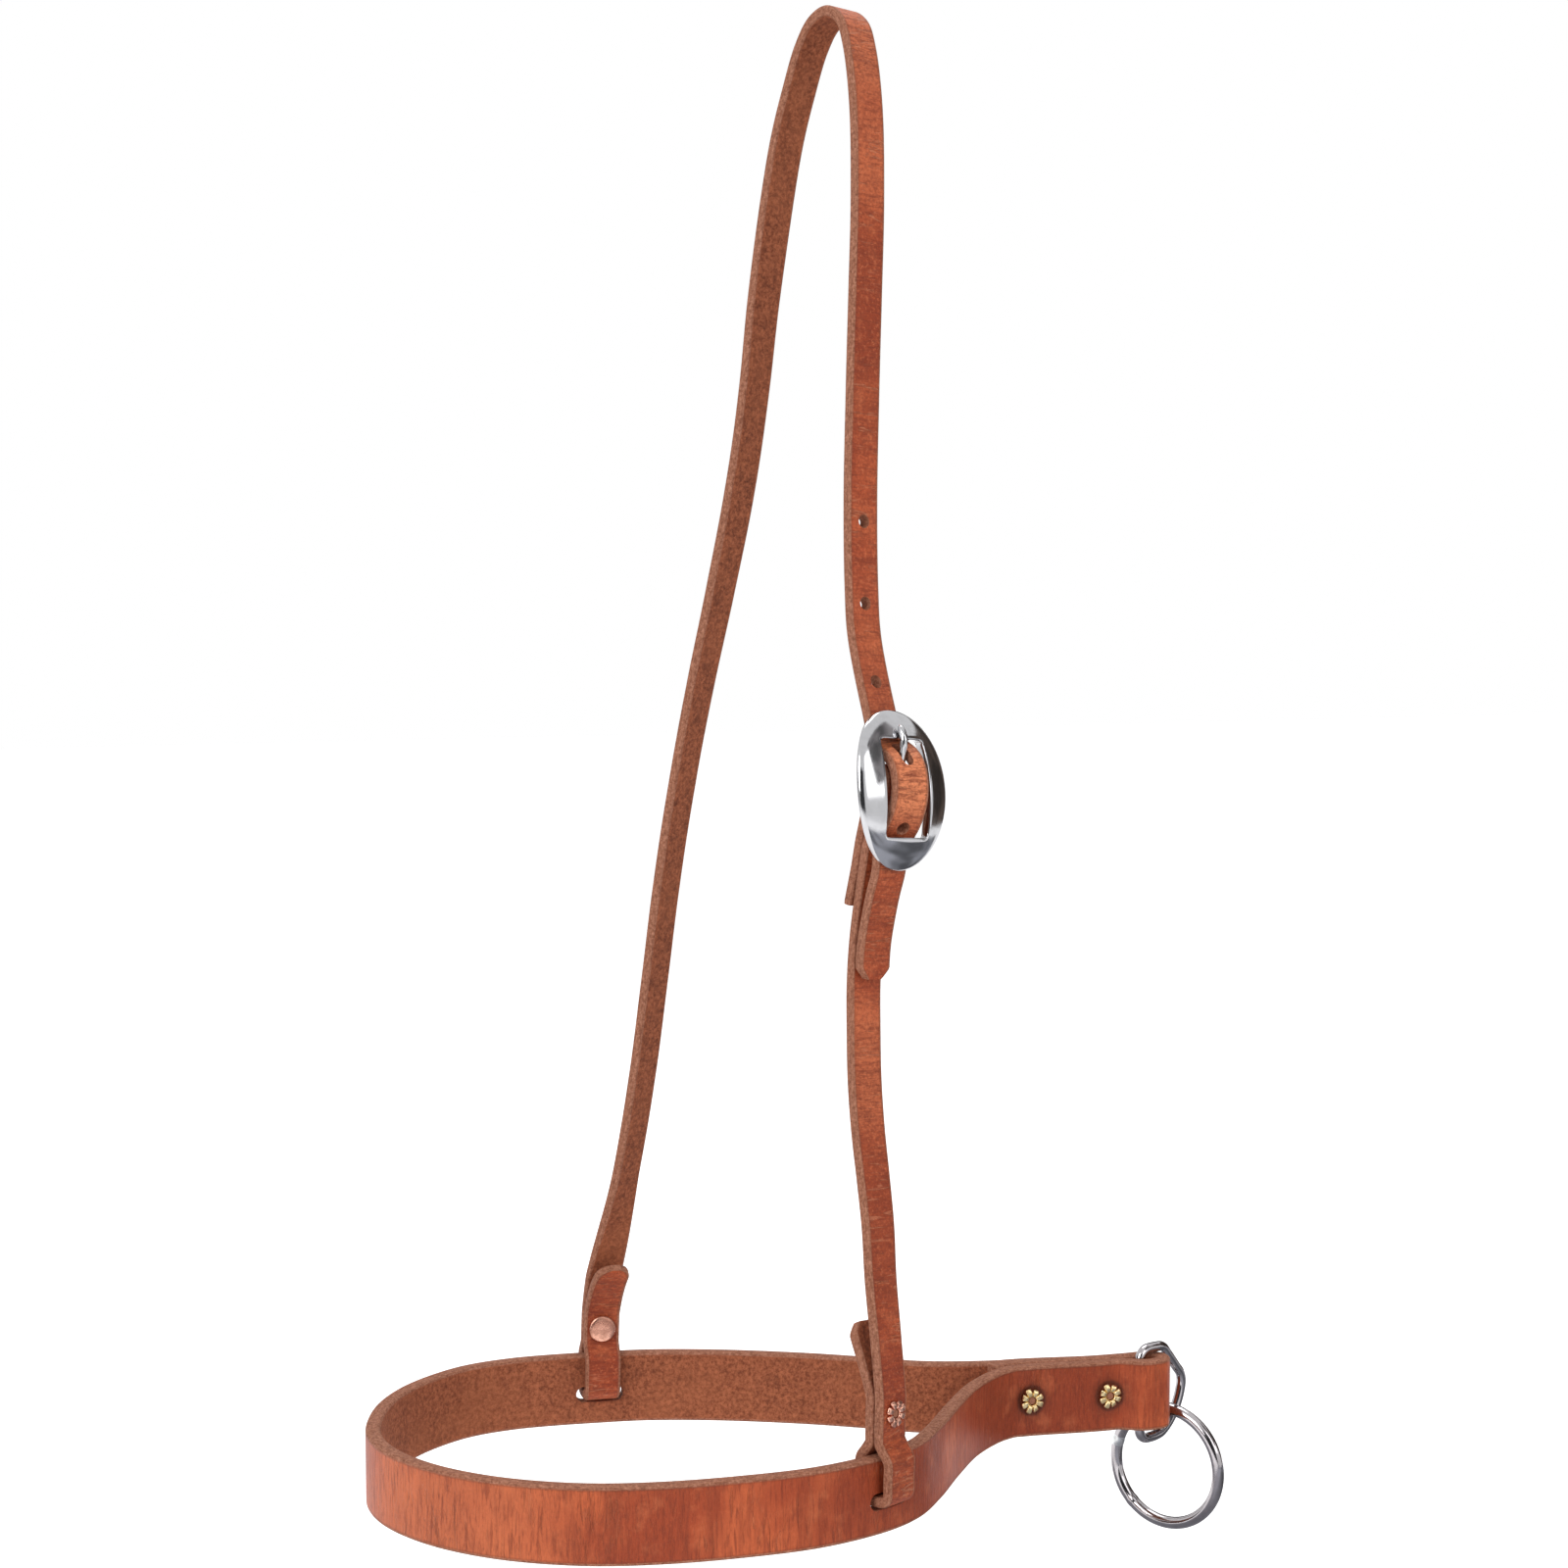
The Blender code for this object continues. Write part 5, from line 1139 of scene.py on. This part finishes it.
def plug_leather():
    made, start, shader = material("plug leather", {"IOR": 1.48})
    solid = start.solid()
    speck = solid.noise(1500.0, 3.0, 0.7)
    connect(shader, Base_Color=speck.mix((0.16, 0.05, 0.025), (0.48, 0.19, 0.10)),
            Roughness=0.5 + 0.2 * speck, Normal=bump(speck, PLUG_DEPTH))
    return made


# %% [markdown]
# ### Metal
#
# The buckle is polished, so its paint is almost nothing: a faint haze of fine scratches. The
# dee and ring are as bright but a little darker. Brass and copper are tarnished in patches.

# %% Metal
FILED = (3.0 * MM, 2.7 * MM)
POLISH, SATIN = 0.01 * MM, 0.04 * MM


def metal(name, colour, other, rough, haze, tarnish=0.0, scratches=SATIN, welds=()):
    """Metal between two colours, patchy by haze in its roughness, filed pale at its welds."""
    made, start, shader = material(name, {"Metallic": 1.0})
    solid = start.solid()
    patch = solid.noise(260.0, 4.0, 0.6).step(0.35, 0.72)
    fine = solid.stretch(1.0, 1.0, 5.0).noise(1500.0, 3.0, 0.65)
    tone, dull = (patch * (0.35 + tarnish)).mix(colour, other), rough
    for weld in welds:
        filed = solid.away(weld).step(*FILED)
        tone, dull = (filed * 0.9).mix(tone, (0.78, 0.80, 0.80)), dull + filed * 0.22
    connect(shader, Base_Color=tone, Roughness=dull + haze * patch + 0.5 * haze * fine,
            Normal=bump(fine, scratches, 0.5))
    return made


stainless = metal("polished stainless", (0.52, 0.52, 0.535), (0.40, 0.395, 0.405), 0.08, 0.06,
                  scratches=POLISH)
nickel = metal("nickel plate", (0.50, 0.47, 0.45), (0.30, 0.27, 0.25), 0.20, 0.15)
steel = metal("handled steel", (0.48, 0.455, 0.47), (0.31, 0.285, 0.29), 0.07, 0.05,
              scratches=POLISH, welds=[round_ring[np.argmin(abs(around - WELD_AT[0]))]])
copper = metal("tarnished copper", (0.78, 0.42, 0.31), (0.22, 0.075, 0.045), 0.16, 0.18, 0.3)
brass = metal("polished brass", (0.95, 0.76, 0.42), (0.42, 0.24, 0.08), 0.15, 0.18, 0.2)
plug_paint = plug_leather()
for paint, pieces in ((one_inch, (nose_piece,)), (half_inch, (crown_piece, cheek_piece)),
                      (stainless, (buckle_piece, tongue_piece)), (nickel, rivets["nickel"]),
                      (steel, (dee_piece, ring_piece)), (copper, rivets["copper"]),
                      (brass, rivets["brass"]), (plug_paint, plugs)):
    for made in pieces:
        made.data.materials.clear()
        made.data.materials.append(paint)
print("materials:", len(bpy.data.materials))

# %% [markdown]
# ## Studio
#
# The object stands in a white sweep under three broad soft lights and an even sky, at a level
# where a colour comes out about as it was written. Polished metal shows only what is round it,
# so six grey and black boards stand outside the picture, as they would in a product studio.
# Only the metal sees them: they cast no shadow and light nothing.

# %% Floor, boards, lights and sky
def seen_rays(tree):
    """One for a ray from the camera, or one off or through something shiny."""
    path = tree.nodes.new("ShaderNodeLightPath")
    names = ("Is Camera Ray", "Is Glossy Ray", "Is Transmission Ray")
    camera_ray, glossy_ray, clear_ray = (Wire(tree, path.outputs[name]) for name in names)
    return camera_ray + glossy_ray + clear_ray


def board(name, place, facing, size, colour, shine=0.0, patchy=False):
    """Flat square of one colour, or of a cloudy one, facing a point."""
    mesh = bpy.data.meshes.new(name)
    half = size / 2
    mesh.from_pydata([(-half, -half, 0), (half, -half, 0), (half, half, 0), (-half, half, 0)],
                     [], [(0, 1, 2, 3)])
    made = add(name, mesh)
    made.location = place
    aim = unit(np.array(facing, float) - np.array(place, float))
    side = unit(np.cross((0, 0, 1), aim)) if abs(aim[2]) < 0.99 else np.array([1.0, 0, 0])
    made.rotation_euler = mathutils.Matrix(np.stack([side, np.cross(aim, side), aim], 1).tolist()
                                           ).to_euler()
    paint, start, shader = material(name, {"Base Color": (*colour, 1.0), "Roughness": 0.9})
    if patchy:
        spread = start.solid().noise(2.2 / size, 2.0, 0.5, 0.6)
        deep = tuple(value * 0.35 for value in colour)
        bright = tuple(min(value * 1.6, 0.9) for value in colour)
        connect(shader, Base_Color=spread.step(0.40, 0.60).mix(deep, bright))
    if shine:
        shader.inputs["Emission Strength"].default_value = shine
        glow = seen_rays(paint.node_tree).mix((0.0, 0.0, 0.0), (1.0, 1.0, 1.0))
        connect(shader, Emission_Color=glow)
    mesh.materials.append(paint)
    return made


floor = board("floor", (0.1, 0.5, -0.565), (0.1, 0.5, 1), 9.0, (0.93, 0.93, 0.93), 0.62)
MIDST = (0.0, 0.0, -0.30)
for name, place, facing, size, tint in (
        ("board_right", (1.50, 0.28, -0.20), MIDST, 1.7, (0.10, 0.07, 0.055)),
        ("board_high", (0.86, -0.62, 0.46), MIDST, 0.85, (0.30, 0.28, 0.28)),
        ("board_low", (0.50, -0.42, -0.55), (0.50, -0.42, 0), 1.0, (0.34, 0.35, 0.385)),
        ("board_front", (-1.40, -2.45, 0.0), MIDST, 3.2, (0.05, 0.05, 0.055)),
        ("board_left", (-1.9, 0.3, -0.2), MIDST, 1.2, (0.10, 0.09, 0.09)),
        ("board_back", (0.9, 2.2, 0.2), MIDST, 1.8, (0.07, 0.065, 0.07))):
    dark = board(name, place, facing, size, tint, patchy=True)
    dark.visible_camera = dark.visible_diffuse = dark.visible_shadow = False


def soft_light(name, place, size, power, colour=(1, 1, 1)):
    data = bpy.data.lights.new(name, "AREA")
    data.size, data.energy, data.color = size, power, colour
    made = add(name, data)
    made.location = place
    aim = mathutils.Vector(MIDST) - mathutils.Vector(place)
    made.rotation_euler = aim.to_track_quat("-Z", "Y").to_euler()


soft_light("key", (-1.3, -0.9, 0.55), 1.0, 15)
soft_light("fill", (0.9, -1.5, 0.6), 1.2, 9)
soft_light("top", (0.2, 0.6, 1.5), 1.0, 12)

sky = bpy.data.worlds.new("sky")
bpy.context.scene.world = sky
sky.use_nodes = True
back = sky.node_tree.nodes["Background"]
connect(back, Color=seen_rays(sky.node_tree).mix((0.42, 0.42, 0.43), (1.0, 1.0, 1.0)))
bpy.context.scene.view_settings.view_transform = "Standard"
